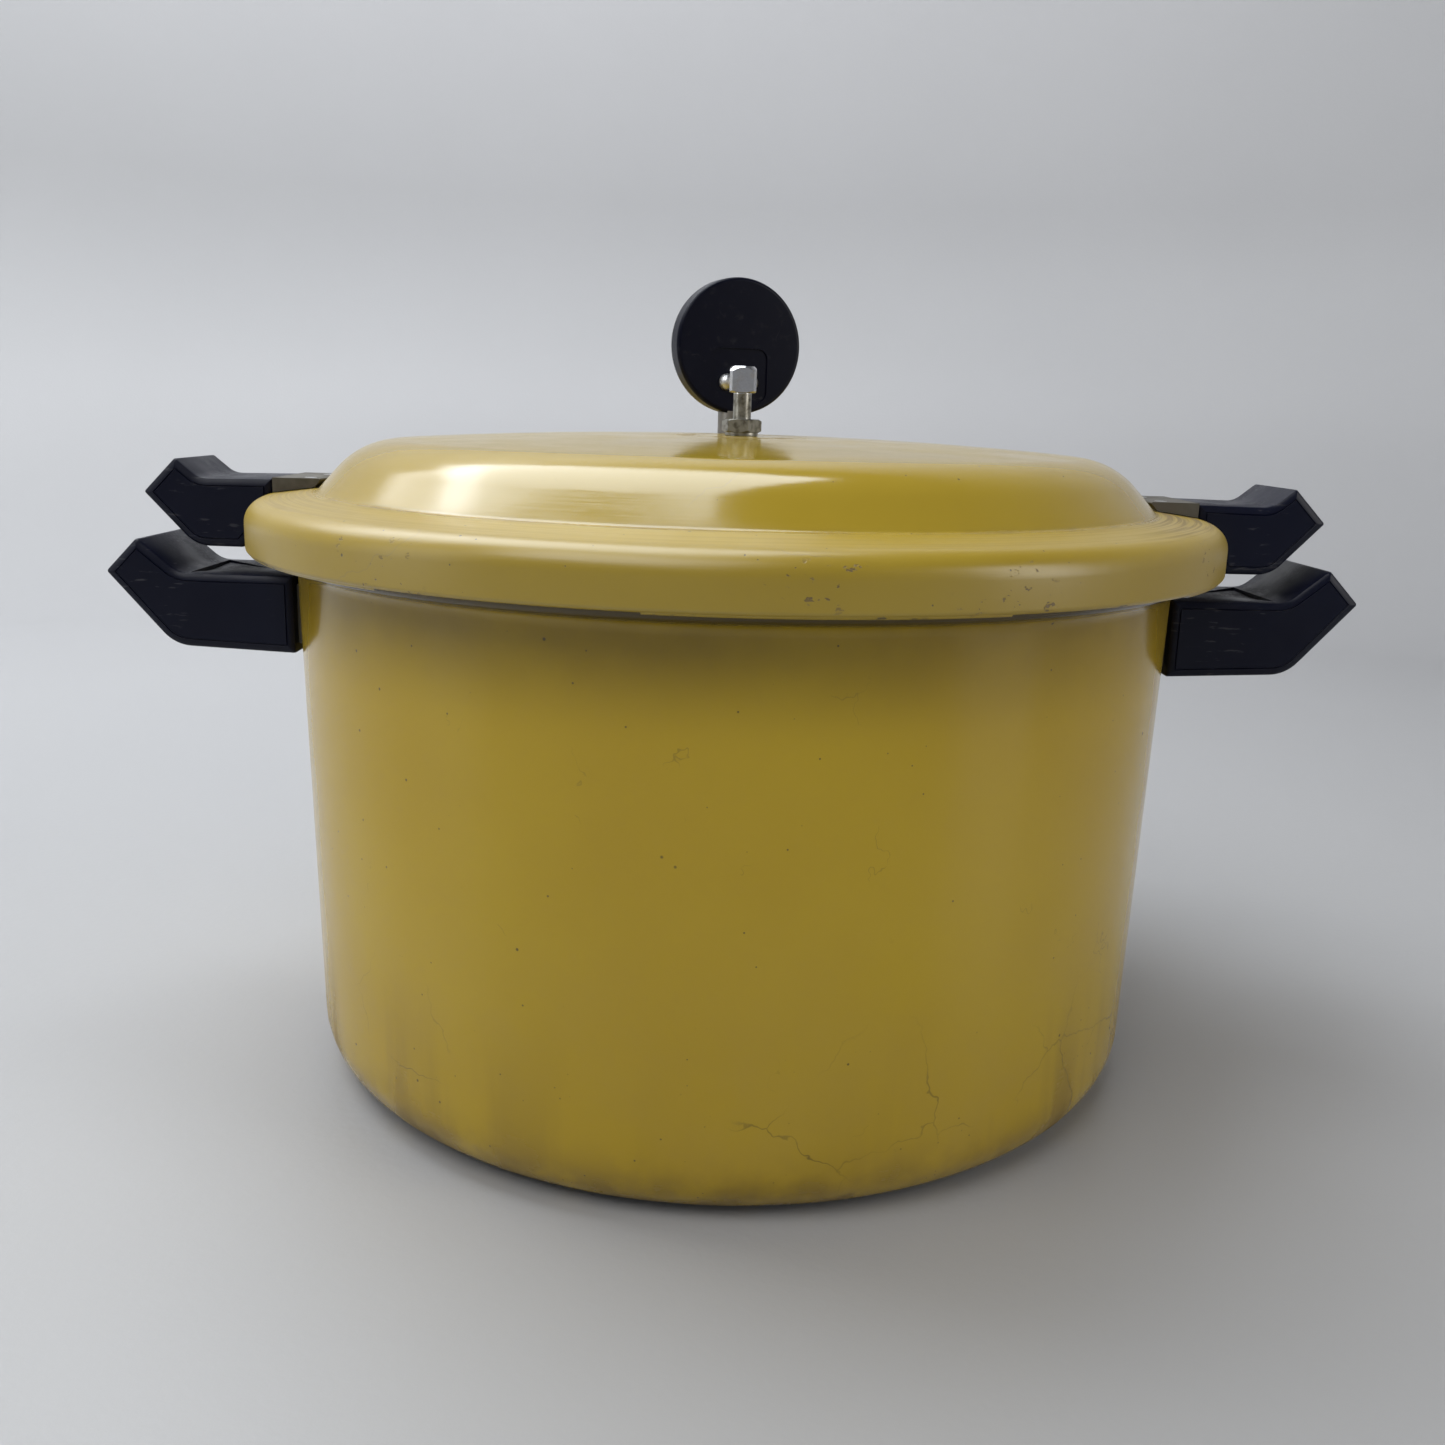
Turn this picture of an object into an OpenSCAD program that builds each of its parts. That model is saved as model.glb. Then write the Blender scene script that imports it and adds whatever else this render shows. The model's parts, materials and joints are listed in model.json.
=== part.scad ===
// Stove-top pressure canner: a deep pot, a bayonet lid with a dial gauge and a vent pipe, four
// handles and a cooking rack. Millimetres. The origin is under the pot's centre, on the surface
// that it stands on. +Z is up, and the handles lie along X. It is drawn closed and locked.

/* [Pot] */
// Outside radius of the wall just above the rounded bottom corner
wall_low_r = 157.4; // [156.5:0.1:158.5]
// Outside radius of the wall where the rim starts
wall_top_r = 161.1; // [160.5:0.1:161.5]
// Thickness of the wall
wall_t = 3.2; // [2.6:0.1:3.4]
// Thickness of the floor
floor_t = 5; // [4:0.1:6]
// Outside radius of the bottom corner
corner_r = 20; // [16:0.5:22]
// Height at the middle of the step that widens the wall into the rim
step_z = 187.5; // [186:0.1:188]
// Outside radius of the rim
rim_r = 168.6; // [168.2:0.1:168.8]
// Height of the rim's top edge
rim_z = 203; // [202.5:0.1:203]

/* [Lid] */
// Outside radius of the skirt
skirt_r = 178; // [177.5:0.1:179]
// Height of the skirt's lower edge
skirt_z = 191.7; // [191.4:0.1:192]
// Thickness of the lid
lid_t = 3; // [2.6:0.1:3.2]
// Height of the ledge where it would meet the skirt's outside
ledge_z = 208.2; // [208:0.1:208.6]
// Radius of the foot of the dome's side
foot_r = 153.8; // [153:0.1:154.5]
// Height of the foot of the dome's side
foot_z = 211.5; // [211:0.1:212]
// Radius where the dome's side would meet the crown
shoulder_r = 138; // [136:0.1:139]
// Radius that rounds the shoulder
shoulder_curve_r = 30; // [18:1:32]
// Height of the crown at the centre
crown_z = 234.5; // [234:0.1:235]
// Radius of the crown's long curve
crown_curve_r = 1766; // [1700:1:1900]

/* [Bayonet lugs] */
// Number of lugs on the lid, and on the pot
lug_count = 6; // [6:1:6]
// Direction of the first lug, in degrees from +X
lug_phase = 38; // [30:1:45]
// Width of each of the pot's lugs, in degrees
pot_lug_deg = 24; // [20:1:25]
// Width of each of the lid's lugs, in degrees
lid_lug_deg = 33; // [28:1:34]

/* [Handles] */
// Width of the pot's handles
body_handle_w = 49; // [46:1:54]
// Width of the lid's handles
lid_handle_w = 41; // [40:1:46]

/* [Vent pipe] */
// Distance of the vent pipe from the lid's centre, towards +X
vent_x = 1; // [0:0.1:1.5]
// Distance of the vent pipe from the lid's centre, towards -Y
vent_y = 20; // [19:0.5:24]
// Diameter of the vent pipe's stem
vent_stem_d = 6.5; // [6:0.1:7.5]
// Width across the flats of its hexagon
vent_flats = 12.7; // [12:0.1:13.5]

/* [Gauge] */
// Distance of the gauge from the lid's centre, towards +X
gauge_x = -1.5; // [-2:0.1:1]
// Distance of the gauge from the lid's centre, towards +Y
gauge_y = 20; // [19:0.5:24]
// Height of the centre of its case
gauge_z = 267.3; // [267:0.1:268]
// Turn of the gauge about its stem, in degrees
gauge_yaw = 21; // [0:1:30]
// Outside diameter of the case
gauge_d = 50.8; // [50.8:0.1:51.5]

/* [Overpressure plug] */
// Distance of the plug from the lid's centre, towards +Y
plug_y = 112; // [108:1:113]
// Diameter of the plug's hole
plug_hole_d = 12.6; // [12:0.1:13]

/* [Cooking rack] */
// Outside radius of the rack
rack_r = 141; // [138:0.5:141]
// Height of the rack's top
rack_z = 17; // [15:0.5:20]

/* [Hidden] */
$fn = 96;
rim_in_r = rim_r - wall_t;
foot = [foot_r, foot_z];
vent_at = [vent_x, -vent_y];
gauge_at = [gauge_x, gauge_y, gauge_z];

// A threaded piece is drawn as a plain shank, and a hole has this much more radius than its shank
hole_gap = 0.1;
// Radial clearance of a running fit
run_gap = 0.05;
// Gap between faces that slide past or rest on each other
face_gap = 0.1;

shank_d = 9.4;              // vent pipe and gauge, where they go through the lid
lid_hole_d = shank_d + 2 * hole_gap;

// Fasteners of the handles: the brackets' rivets, and a screw with a washer up into each bracket
body_rivet_d = 5;
lid_rivet_d = 4.8;
screw_d = 4.8;
screw_head_d = 9.4;
screw_head_h = 3.1;
screw_slot_w = 1.3;
thread_hole_d = screw_d + 2 * hole_gap;
handle_hole_d = 5.6;
counterbore_d = 11.2;
washer_d = [10.6, 5.2];

// Gauge layers along its axis, from the back (-) to the front (+), measured from its centre
case_back = -4.3;
case_back_t = 1.2;
case_front = 2.6;
case_wall = 1.6;
pocket_deep = 0.6;
block_w = [-3, -0.3];
neck_w = [-3, 2];
tube_w = [-2.9, -0.7];
plate_back_w = [-0.25, 0.25];
sector_w = [0.45, 0.85];
link_w = [0.95, 1.2];
plate_front_w = [1.5, 1.95];
dial_w = [2.05, 2.35];
pointer_w = [2.85, 3.1];
lens_w = [3.5, 4.3];

// Brass socket: a round boss on the lid, a neck through the case's wall and a block inside
boss_d = 12.6;
boss_top = gauge_z - gauge_d / 2 + 1.1;
neck_u = 10;
block_u = 17;
block_low = -21;
block_top = -9;

// Gauge gears: a ten-tooth pinion on the pointer's shaft, and a sector of a 54-tooth wheel
gear_m = 0.35;
pinion_teeth = 10;
sector_teeth = 54;
sector_cut = 10;
pressure_deg = 25;
gear_backlash = 0.08;
mesh_deg = 60;              // direction from the sector's arbor to the pointer's shaft
centre_dist = gear_m * (pinion_teeth + sector_teeth) / 2;
arbor = -centre_dist * [cos(mesh_deg), sin(mesh_deg)];
arbor_d = 1.2;
arm_deg = -65;
arm_len = 4.5;
arm_end = arbor + arm_len * [cos(arm_deg), sin(arm_deg)];
pin_d = 0.8;

// Bourdon tube
tube_r = 15.5;
tube_t = 1.6;
tube_root_deg = 242.5;
tube_tip_deg = -20;
tube_tip_at = tube_r * [cos(tube_tip_deg), sin(tube_tip_deg)];
tip_pin_in = 0.9;           // the link's pin, from the tube's end into its cap

// ---------- outlines ----------

function unit(v) = v / norm(v);
function xy(p) = [p.x, p.y];
function wrap(a) = a > 180 ? a - 360 : a < -180 ? a + 360 : a;
function arc(c, r, a0, a1, n) =
    [for (i = [0:n]) c + r * [cos(a0 + (a1 - a0) * i / n), sin(a0 + (a1 - a0) * i / n)]];

// The arc of radius r that rounds the corner b between a and c
function corner(a, b, c, r, n) =
    r == 0 ? [b] :
    let (u = unit(a - b), v = unit(c - b), half = acos(u * v) / 2,
         m = b + unit(u + v) * r / sin(half),
         p = b + u * r / tan(half) - m, q = b + v * r / tan(half) - m,
         a0 = atan2(p.y, p.x))
    arc(m, r, a0, a0 + wrap(atan2(q.y, q.x) - a0), n);

// A closed outline from corner points [x, y, corner radius]
function outline(P, n = 6) =
    let (k = len(P))
    [for (i = [0:k - 1]) each corner(xy(P[(i + k - 1) % k]), xy(P[i]), xy(P[(i + 1) % k]), P[i].z, n)];

// An open row of corner points moved by t to the left of its own direction
function left_of(a, b) = let (d = unit(xy(b) - xy(a))) [-d.y, d.x];
function moved_left(P, t) =
    let (k = len(P))
    [for (i = [0:k - 1])
        let (n1 = left_of(P[max(i - 1, 0)], P[max(i, 1)]),
             n2 = left_of(P[min(i, k - 2)], P[min(i + 1, k - 1)]),
             p = xy(P[i]) + t * (n1 + n2) / (1 + n1 * n2),
             turn = sign(n1.x * n2.y - n1.y * n2.x))
        [max(p.x, 0), p.y, P[i].z == 0 ? 0 : max(P[i].z - turn * t, 0.3)]];
function reversed(P) = [for (i = [len(P) - 1:-1:0]) P[i]];

function wall_r(z) =
    wall_low_r + (wall_top_r - wall_low_r) * (z - corner_r) / (step_z - corner_r);
function crown(r) = crown_z - r * r / (2 * crown_curve_r);
function ledge(r) = foot.y + (ledge_z - foot.y) * (r - foot.x) / (skirt_r - foot.x);

// The lid's outside, from the skirt's lower edge up and in to the centre
lid_outside = concat(
    [[skirt_r, skirt_z, 1.6], [skirt_r, ledge_z, 8], [foot.x, foot.y, 3],
     [shoulder_r, crown(shoulder_r), shoulder_curve_r]],
    [for (r = [112, 90, 60, 30, 0]) [r, crown(r), 0]]
);

// ---------- shared shapes ----------

module spin(P) { rotate_extrude() polygon(P); }

// Corner points [x, z, radius] drawn in the XZ plane and given a width along Y
module bar(P, w) { rotate([90, 0, 0]) linear_extrude(w, center = true) polygon(outline(P)); }

module block(lo, hi) { translate(lo) cube(hi - lo); }

module disc(d, z0, z1) { translate([0, 0, z0]) cylinder(h = z1 - z0, d = d); }

module both_sides() {
    children();
    mirror([1, 0, 0]) children();
}

module lugs(r0, r1, z0, z1, deg, round_r) {
    for (i = [0:lug_count - 1])
        rotate([0, 0, lug_phase + i * 360 / lug_count - deg / 2])
            rotate_extrude(angle = deg)
                polygon(outline([[r0, z0, 0], [r1, z0, round_r], [r1, z1, round_r], [r0, z1, 0]], 3));
}

// A slotted pan-head screw with its head's top at z = 0 and its shank upwards
module screw(head_d, head_h, d, long, slot_w) {
    difference() {
        union() {
            spin(outline([[0, 0, 0], [head_d / 2, 0, head_h * 0.6], [head_d / 2, head_h, 0],
                          [0, head_h, 0]], 5));
            disc(d, head_h, long);
        }
        block([-head_d, -slot_w / 2, -1], [head_d, slot_w / 2, head_h * 0.4]);
    }
}

// A dome-headed rivet with the flat of its head at z = 0, its head downwards and its shank upwards
module rivet(head_d, head_h, d, long) {
    curve_r = (head_d * head_d / 4 + head_h * head_h) / (2 * head_h);
    half = asin(head_d / 2 / curve_r);
    head = arc([0, curve_r - head_h], curve_r, -90, -90 + half, 6);
    spin(concat(head, [[d / 2, 0], [d / 2, long], [0, long]]));
}

// A hexagon nut or head with chamfered corners, from z0 to z1
module hexagon(flats, z0, z1, turn) {
    corner_d = flats / cos(30);
    end_r = flats / 2 - 0.2;
    reach = corner_d / 2 + 0.3;
    rise = (reach - end_r) * tan(30);
    intersection() {
        rotate([0, 0, turn]) translate([0, 0, z0]) cylinder(h = z1 - z0, d = corner_d, $fn = 6);
        spin([[0, z0], [end_r, z0], [reach, z0 + rise], [reach, z1 - rise], [end_r, z1], [0, z1]]);
    }
}

module ring(d_out, d_in, z0, z1) {
    difference() {
        disc(d_out, z0, z1);
        disc(d_in, z0 - 1, z1 + 1);
    }
}

// ---------- pot ----------

module pot_body() {
    step = wall_r(step_z);
    rise = (rim_r - step) * tan(10.4) / 2;
    outside = [[wall_r(0), 0, corner_r], [step, step_z - rise, 4.4], [rim_r, step_z + rise, 4.4],
               [rim_r, rim_z, 1.5]];
    inside = moved_left(outside, wall_t);
    color([0.72, 0.58, 0.2])
    difference() {
        union() {
            spin(outline(concat(
                [[0, 0, 0]], outside,
                [[rim_in_r, rim_z, 1.5], inside[2], inside[1],
                 [wall_r(floor_t) - wall_t, floor_t, 15], [0, floor_t, 0]]
            )));
            lugs(rim_r - 1, 174.2, 196.3, 200.3, pot_lug_deg, 0.8);
        }
        body_rivet_places() disc(body_rivet_d + 2 * hole_gap, -12, 12);
    }
}

// ---------- the pot's handles ----------

body_rivet_z = 164.5;
body_rivet_y = 14;
body_rivet_r = wall_r(body_rivet_z) - wall_t;
body_screw_x = 190;

// Each rivet's own frame has its origin on the pot's inner wall and +Z pointing out
module body_rivet_places() {
    turn = asin(body_rivet_y / body_rivet_r);
    both_sides()
        for (s = [-1, 1])
            rotate([0, 0, s * turn])
                translate([body_rivet_r - face_gap, 0, body_rivet_z]) rotate([0, 90, 0]) children();
}

module body_handle() {
    difference() {
        bar([[163.2, 150, 1], [208.5, 152, 14], [232.2, 179.2, 1.2], [220.2, 191.8, 1.5],
             [205.5, 179.3, 10], [163.2, 179, 0.8]], body_handle_w);
        // slot for the bracket's tongue
        block([160, -9.2, 160.8], [200.6, 9.2, 167.2]);
        // screw hole and its counterbore
        translate([body_screw_x, 0, 0]) disc(handle_hole_d, 140, 162);
        translate([body_screw_x, 0, 0]) disc(counterbore_d, 140, 156.6);
        // shallow arrow on the top face, with its point towards the lid
        translate([0, 0, 178.3]) linear_extrude(3) polygon([[203, -21], [203, 21], [181, 0]]);
    }
}

module body_handle_bracket() {
    difference() {
        union() {
            block([152, -20, 153.5], [163.1, 20, 175.5]);
            block([160, -9, 161], [200, 9, 167]);
        }
        translate([0, 0, corner_r])
            cylinder(h = step_z - corner_r, r1 = wall_low_r + 0.02, r2 = wall_top_r + 0.02);
        body_rivet_places() disc(body_rivet_d + 2 * hole_gap, -12, 20);
        translate([body_screw_x, 0, 0]) disc(thread_hole_d, 150, 170);
    }
}

module handle_screw(long) { screw(screw_head_d, screw_head_h, screw_d, long, screw_slot_w); }

module body_handle_left() { color([0.07, 0.08, 0.11]) mirror([1, 0, 0]) body_handle(); }
module body_handle_right() { color([0.07, 0.08, 0.11]) body_handle(); }
module body_handle_bracket_left() { color([0.42, 0.41, 0.38]) mirror([1, 0, 0]) body_handle_bracket(); }
module body_handle_bracket_right() { color([0.42, 0.41, 0.38]) body_handle_bracket(); }

module body_bracket_rivets() {
    color([0.7, 0.7, 0.7]) body_rivet_places() rivet(9, 2, body_rivet_d, 5.4);
}

module body_handle_screws() {
    color([0.6, 0.6, 0.58])
    both_sides() translate([body_screw_x, 0, 152.6]) handle_screw(14.2);
}

module body_handle_washers() {
    color([0.6, 0.6, 0.58])
    both_sides() translate([body_screw_x, 0, 0]) ring(washer_d[0], washer_d[1], 155.75, 156.55);
}

// ---------- cooking rack ----------

module cooking_rack() {
    color([0.72, 0.72, 0.74])
    difference() {
        spin(outline([[0, rack_z - 1.3, 0], [rack_r - 1.3, rack_z - 1.3, 0.8],
                      [rack_r - 1.3, floor_t + 0.3, 0],
                      [rack_r, floor_t + 0.3, 0], [rack_r, rack_z, 2.1], [0, rack_z, 0]], 4));
        disc(24, 0, rack_z + 5);
        // rings of holes: [how many, their circle's radius, diameter]
        for (row = [[6, 45, 16], [12, 85, 16], [18, 120, 14]])
            for (i = [0:row[0] - 1])
                rotate([0, 0, i * 360 / row[0]]) translate([row[1], 0, 0]) disc(row[2], 10, rack_z + 5);
    }
}

// ---------- lid ----------

module sealing_ring() {
    under = ledge(164.5) - lid_t - 0.35;
    color([0.08, 0.08, 0.08])
    spin(outline([[163.7, 200.2, 0.5], [165, 200.2, 0.5], [165, rim_z + face_gap, 0],
                  [173.9, rim_z + face_gap, 0.8], [172.1, 205.6, 1.2], [164.5, under, 1],
                  [163.7, 204, 0]], 4));
}

// The plug's own frame has its origin on the lid's outside and +Z square to it
module plug_place() {
    translate([0, plug_y, crown(plug_y)]) rotate([-asin(plug_y / crown_curve_r), 0, 0]) children();
}

gauge_stem_at = [gauge_at.x, gauge_at.y];

module lid() {
    inside = moved_left(lid_outside, lid_t);
    color([0.8, 0.67, 0.27])
    difference() {
        union() {
            spin(outline(concat(
                [[skirt_r - lid_t, skirt_z, 0.8]], lid_outside,
                reversed([for (i = [1:len(inside) - 1]) inside[i]])
            )));
            lugs(169.5, skirt_r - 0.8, skirt_z - 0.6, 195.7, lid_lug_deg, 1.1);
        }
        translate(concat(vent_at, 0)) disc(lid_hole_d, 200, 260);
        translate(concat(gauge_stem_at, 0)) disc(lid_hole_d, 200, 260);
        plug_place() disc(plug_hole_d, -10, 10);
        lid_rivet_places() disc(lid_rivet_d + 2 * hole_gap, -5, 10);
    }
}

module overpressure_plug() {
    color([0.1, 0.1, 0.1])
    plug_place()
        spin(outline([[0, -6.5, 0], [plug_hole_d / 2 - 1.2, -6.5, 0.8], [plug_hole_d / 2 - 1.2, -4.2, 0],
                      [plug_hole_d / 2 - run_gap, -3.4, 0], [plug_hole_d / 2 - run_gap, face_gap, 0],
                      [7.8, face_gap, 0], [7.8, 2, 0.9], [3, 2, 0], [2.4, 1.4, 0], [0, 1.4, 0]], 4));
}

// ---------- the lid's handles ----------

lid_rivet_at = [158.5, 12];
lid_rivet_z = ledge(162.5) - lid_t - 0.1;
lid_bracket_top = 214.7;
lid_screw_x = 190;
tongue_z = [209.5, 212.5];

// Each rivet's own frame has its origin under the lid's ledge and +Z pointing up
module lid_rivet_places() {
    both_sides()
        for (s = [-1, 1])
            translate([lid_rivet_at.x, s * lid_rivet_at.y, lid_rivet_z]) children();
}

module lid_handle() {
    difference() {
        bar([[182.6, 188.8, 1], [200, 188.9, 12], [218, 208.3, 1], [205.8, 221, 1.3],
             [197.2, 213.9, 8], [170.4, 214.3, 0.6], [170.4, 200, 0], [176, 196, 0]], lid_handle_w);
        // room for the lid's rolled rim
        spin(outline([[0, 180, 0], [skirt_r + 0.5, 180, 0], [skirt_r + 0.5, ledge_z + 0.4, 8.4],
                      [foot.x, foot.y + 0.4, 0], [0, foot.y + 0.4, 0]]));
        // slot for the bracket's tongue
        block([165, -13.2, tongue_z[0] - face_gap], [199.2, 13.2, tongue_z[1] + face_gap]);
        // screw hole and its counterbore
        translate([lid_screw_x, 0, 0]) disc(handle_hole_d, 180, 211);
        translate([lid_screw_x, 0, 0]) disc(counterbore_d, 180, 201);
    }
}

module lid_handle_bracket() {
    top = lid_bracket_top;
    side_deg = atan2(crown(shoulder_r) - foot.y, foot.x - shoulder_r);
    inner_x = 155;
    difference() {
        union() {
            bar([[inner_x, ledge(inner_x) + 0.2, 0.4], [170.2, ledge(170.2) + 0.1, 0], [170.2, top, 0],
                 [inner_x - (top - ledge(inner_x)) / tan(side_deg), top, 0.5]], lid_handle_w);
            block([168, -13, tongue_z[0]], [199, 13, tongue_z[1]]);
        }
        lid_rivet_places() disc(lid_rivet_d + 2 * hole_gap, -5, 10);
        translate([lid_screw_x, 0, 0]) disc(thread_hole_d, 200, 215);
    }
}

module lid_handle_left() { color([0.07, 0.08, 0.11]) mirror([1, 0, 0]) lid_handle(); }
module lid_handle_right() { color([0.07, 0.08, 0.11]) lid_handle(); }
module lid_handle_bracket_left() { color([0.42, 0.41, 0.38]) mirror([1, 0, 0]) lid_handle_bracket(); }
module lid_handle_bracket_right() { color([0.42, 0.41, 0.38]) lid_handle_bracket(); }

module lid_bracket_rivets() {
    color([0.62, 0.61, 0.58])
    lid_rivet_places() rivet(8, 1.8, lid_rivet_d, lid_bracket_top - lid_rivet_z - 0.05);
}

module lid_handle_screws() {
    color([0.6, 0.6, 0.58])
    both_sides() translate([lid_screw_x, 0, 196.9]) handle_screw(15.5);
}

module lid_handle_washers() {
    color([0.6, 0.6, 0.58])
    both_sides() translate([lid_screw_x, 0, 0]) ring(washer_d[0], washer_d[1], 200.05, 200.95);
}

// ---------- vent pipe ----------

vent_z = crown(norm(vent_at)) + 0.05;
gasket_d = 17;
gasket_t = 1.5;
// The gaskets lie flat under the lid, so they touch it at their far edge
under_lid_z = crown(norm(vent_at) + gasket_d / 2) - lid_t - 0.1;
lid_nut_t = 5;

module vent_pipe() {
    hex_z = [vent_z + 1.1, vent_z + 5.8];
    head_z = [vent_z + 15, vent_z + 24.3];
    head_w = 9.6;
    color([0.75, 0.75, 0.73])
    translate(concat(vent_at, 0))
    difference() {
        union() {
            disc(shank_d, under_lid_z - gasket_t - lid_nut_t - 2, vent_z + 1);
            disc(vent_flats - 0.8, vent_z, hex_z[0]);
            hexagon(vent_flats, hex_z[0], hex_z[1], -13);
            disc(vent_stem_d, hex_z[1] - 1, head_z[0] + 1);
            // square head with bevelled corners and a chamfered top
            intersection() {
                block([-head_w / 2, -head_w / 2, head_z[0]], [head_w / 2, head_w / 2, head_z[1]]);
                rotate([0, 0, 45]) block([-6.1, -6.1, head_z[0]], [6.1, 6.1, head_z[1]]);
                spin([[0, head_z[0]], [4.2, head_z[0]], [6.8, head_z[0] + 0.9], [6.8, head_z[1] - 2.4],
                      [4.3, head_z[1]], [0, head_z[1]]]);
            }
        }
        disc(2.6, 200, 270);
        // countersunk mouth
        translate([0, 0, head_z[1] - 0.8]) cylinder(h = 1, r1 = 1.3, r2 = 2.3);
    }
}

// Gasket and nut under the lid, shared by the vent pipe and the gauge
module lid_gasket() { ring(gasket_d, lid_hole_d, under_lid_z - gasket_t, under_lid_z); }

module lid_nut() {
    z1 = under_lid_z - gasket_t - 0.05;
    difference() {
        hexagon(14.3, z1 - lid_nut_t, z1, 10);
        disc(lid_hole_d, z1 - lid_nut_t - 1, z1 + 1);
    }
}

module vent_pipe_gasket() { color([0.12, 0.12, 0.12]) translate(concat(vent_at, 0)) lid_gasket(); }
module vent_pipe_nut() { color([0.72, 0.6, 0.3]) translate(concat(vent_at, 0)) lid_nut(); }
module gauge_gasket() { color([0.12, 0.12, 0.12]) translate(concat(gauge_stem_at, 0)) lid_gasket(); }
module gauge_nut() { color([0.72, 0.6, 0.3]) translate(concat(gauge_stem_at, 0)) lid_nut(); }

// ---------- gauge ----------

// The gauge's own frame: X to the right and Y up as its face is read, and Z out of its face
module gauge_frame() {
    translate(gauge_at) rotate([0, 0, gauge_yaw]) rotate([90, 0, 180]) children();
}

rivet_at = [4.8, -13.6];
gauge_rivet_d = 3;
pillar_end_d = 1.2;
pillar_hole_d = pillar_end_d + 2 * run_gap;
dial_d = 45.6;
pillars = [[-9, 5], [9, 5], [5.2, -13.6]];
mount_screws = [[-3.4, -19], [3.4, -19]];
hairspring_stud = [-4.5, 3.2];

module gauge_socket() {
    on_lid_z = crown(norm(gauge_stem_at)) + 0.05;
    passage_w = (tube_w[0] + tube_w[1]) / 2;
    color([0.55, 0.52, 0.45])
    difference() {
        union() {
            difference() {
                translate(concat(gauge_stem_at, 0)) disc(boss_d, on_lid_z, boss_top);
                // saddle that the case's rim sits in
                gauge_frame() disc(gauge_d + 2 * face_gap, case_back - face_gap, lens_w[1] + face_gap);
            }
            gauge_frame() {
                block([-neck_u / 2, -gauge_d / 2 - 3, neck_w[0]], [neck_u / 2, block_low - 1, neck_w[1]]);
                block([-neck_u / 2, block_low - 1, block_w[0]], [neck_u / 2, block_low, block_w[1]]);
                block([-block_u / 2, block_low, block_w[0]], [block_u / 2, block_top, block_w[1]]);
            }
            translate(concat(gauge_stem_at, 0))
                disc(shank_d, under_lid_z - gasket_t - lid_nut_t - 2, on_lid_z + 1);
        }
        // pressure passage up to the tube
        translate(concat(gauge_stem_at, 0)) disc(2.4, 200, gauge_z + block_low - 2);
        gauge_frame() {
            rotate([-90, 0, 0]) translate([0, -passage_w, block_low - 3]) cylinder(h = 8, d = 1.2);
            // seat of the tube's root
            bourdon_sweep(0.05);
            for (s = [-1, 1])
                translate([s * rivet_at.x, rivet_at.y, 0])
                    disc(gauge_rivet_d + 2 * hole_gap, block_w[0] - 1, -1.2);
            for (p = mount_screws) translate(concat(p, 0)) disc(1.6, -1.8, 1);
        }
    }
}

module gauge_case() {
    r = gauge_d / 2;
    floor_w = case_back + case_back_t;
    color([0.05, 0.05, 0.07])
    gauge_frame()
    difference() {
        spin(outline([[0, case_back, 0], [r, case_back, 1.4], [r, case_front, 0.3],
                      [r - case_wall, case_front, 0.3], [r - case_wall, floor_w, 0.6], [0, floor_w, 0]], 5));
        // shallow rounded pocket in the back, around the rivets
        translate([0, 0, case_back - 1]) linear_extrude(1 + pocket_deep)
            polygon(outline([[-11.6, -21, 4], [11.6, -21, 4], [11.6, -0.8, 4], [-11.6, -0.8, 4]]));
        // way in for the neck
        block([-neck_u / 2 - face_gap, -r - 2, neck_w[0] - face_gap],
              [neck_u / 2 + face_gap, -20, neck_w[1] + face_gap]);
        for (s = [-1, 1])
            translate([s * rivet_at.x, rivet_at.y, 0]) disc(gauge_rivet_d + 2 * hole_gap, case_back - 1, 0);
    }
}

module gauge_rivets() {
    color([0.8, 0.8, 0.8])
    gauge_frame()
        for (s = [-1, 1])
            translate([s * rivet_at.x, rivet_at.y, case_back + pocket_deep - 0.02])
                rivet(6.6, 2.8, gauge_rivet_d, 2.4);
}

// The flat C of the tube, grown by gap for the seat that holds its root
module bourdon_sweep(gap) {
    start = tube_tip_deg + 1.5;
    r0 = tube_r - tube_t / 2 - gap;
    r1 = tube_r + tube_t / 2 + gap;
    w0 = tube_w[0] - gap;
    w1 = tube_w[1] + gap;
    rotate([0, 0, start])
        rotate_extrude(angle = tube_root_deg - start + gap * 10)
            polygon(outline([[r0, w0, 0.5], [r1, w0, 0.5], [r1, w1, 0.5], [r0, w1, 0.5]], 3));
}

module bourdon_tube() { color([0.75, 0.55, 0.3]) gauge_frame() bourdon_sweep(0); }

// End cap of the tube, with the pin that the link hangs on
module bourdon_tip() {
    cap = [2.6, 2.8];
    color([0.75, 0.6, 0.35])
    gauge_frame() {
        rotate([0, 0, tube_tip_deg])
            translate([tube_r, 0, 0]) block([-cap.x / 2, -cap.y, tube_w[0]], [cap.x / 2, 0.3, tube_w[1]]);
        translate(concat(tube_tip_at, 0)) rotate([0, 0, tube_tip_deg])
            translate([0, -tip_pin_in, 0]) disc(pin_d, tube_w[1] - 0.5, link_w[1] + 0.15);
    }
}

module plate(w0, w1, P) {
    translate([0, 0, w0]) linear_extrude(w1 - w0) polygon(outline(P, 4));
}

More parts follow.
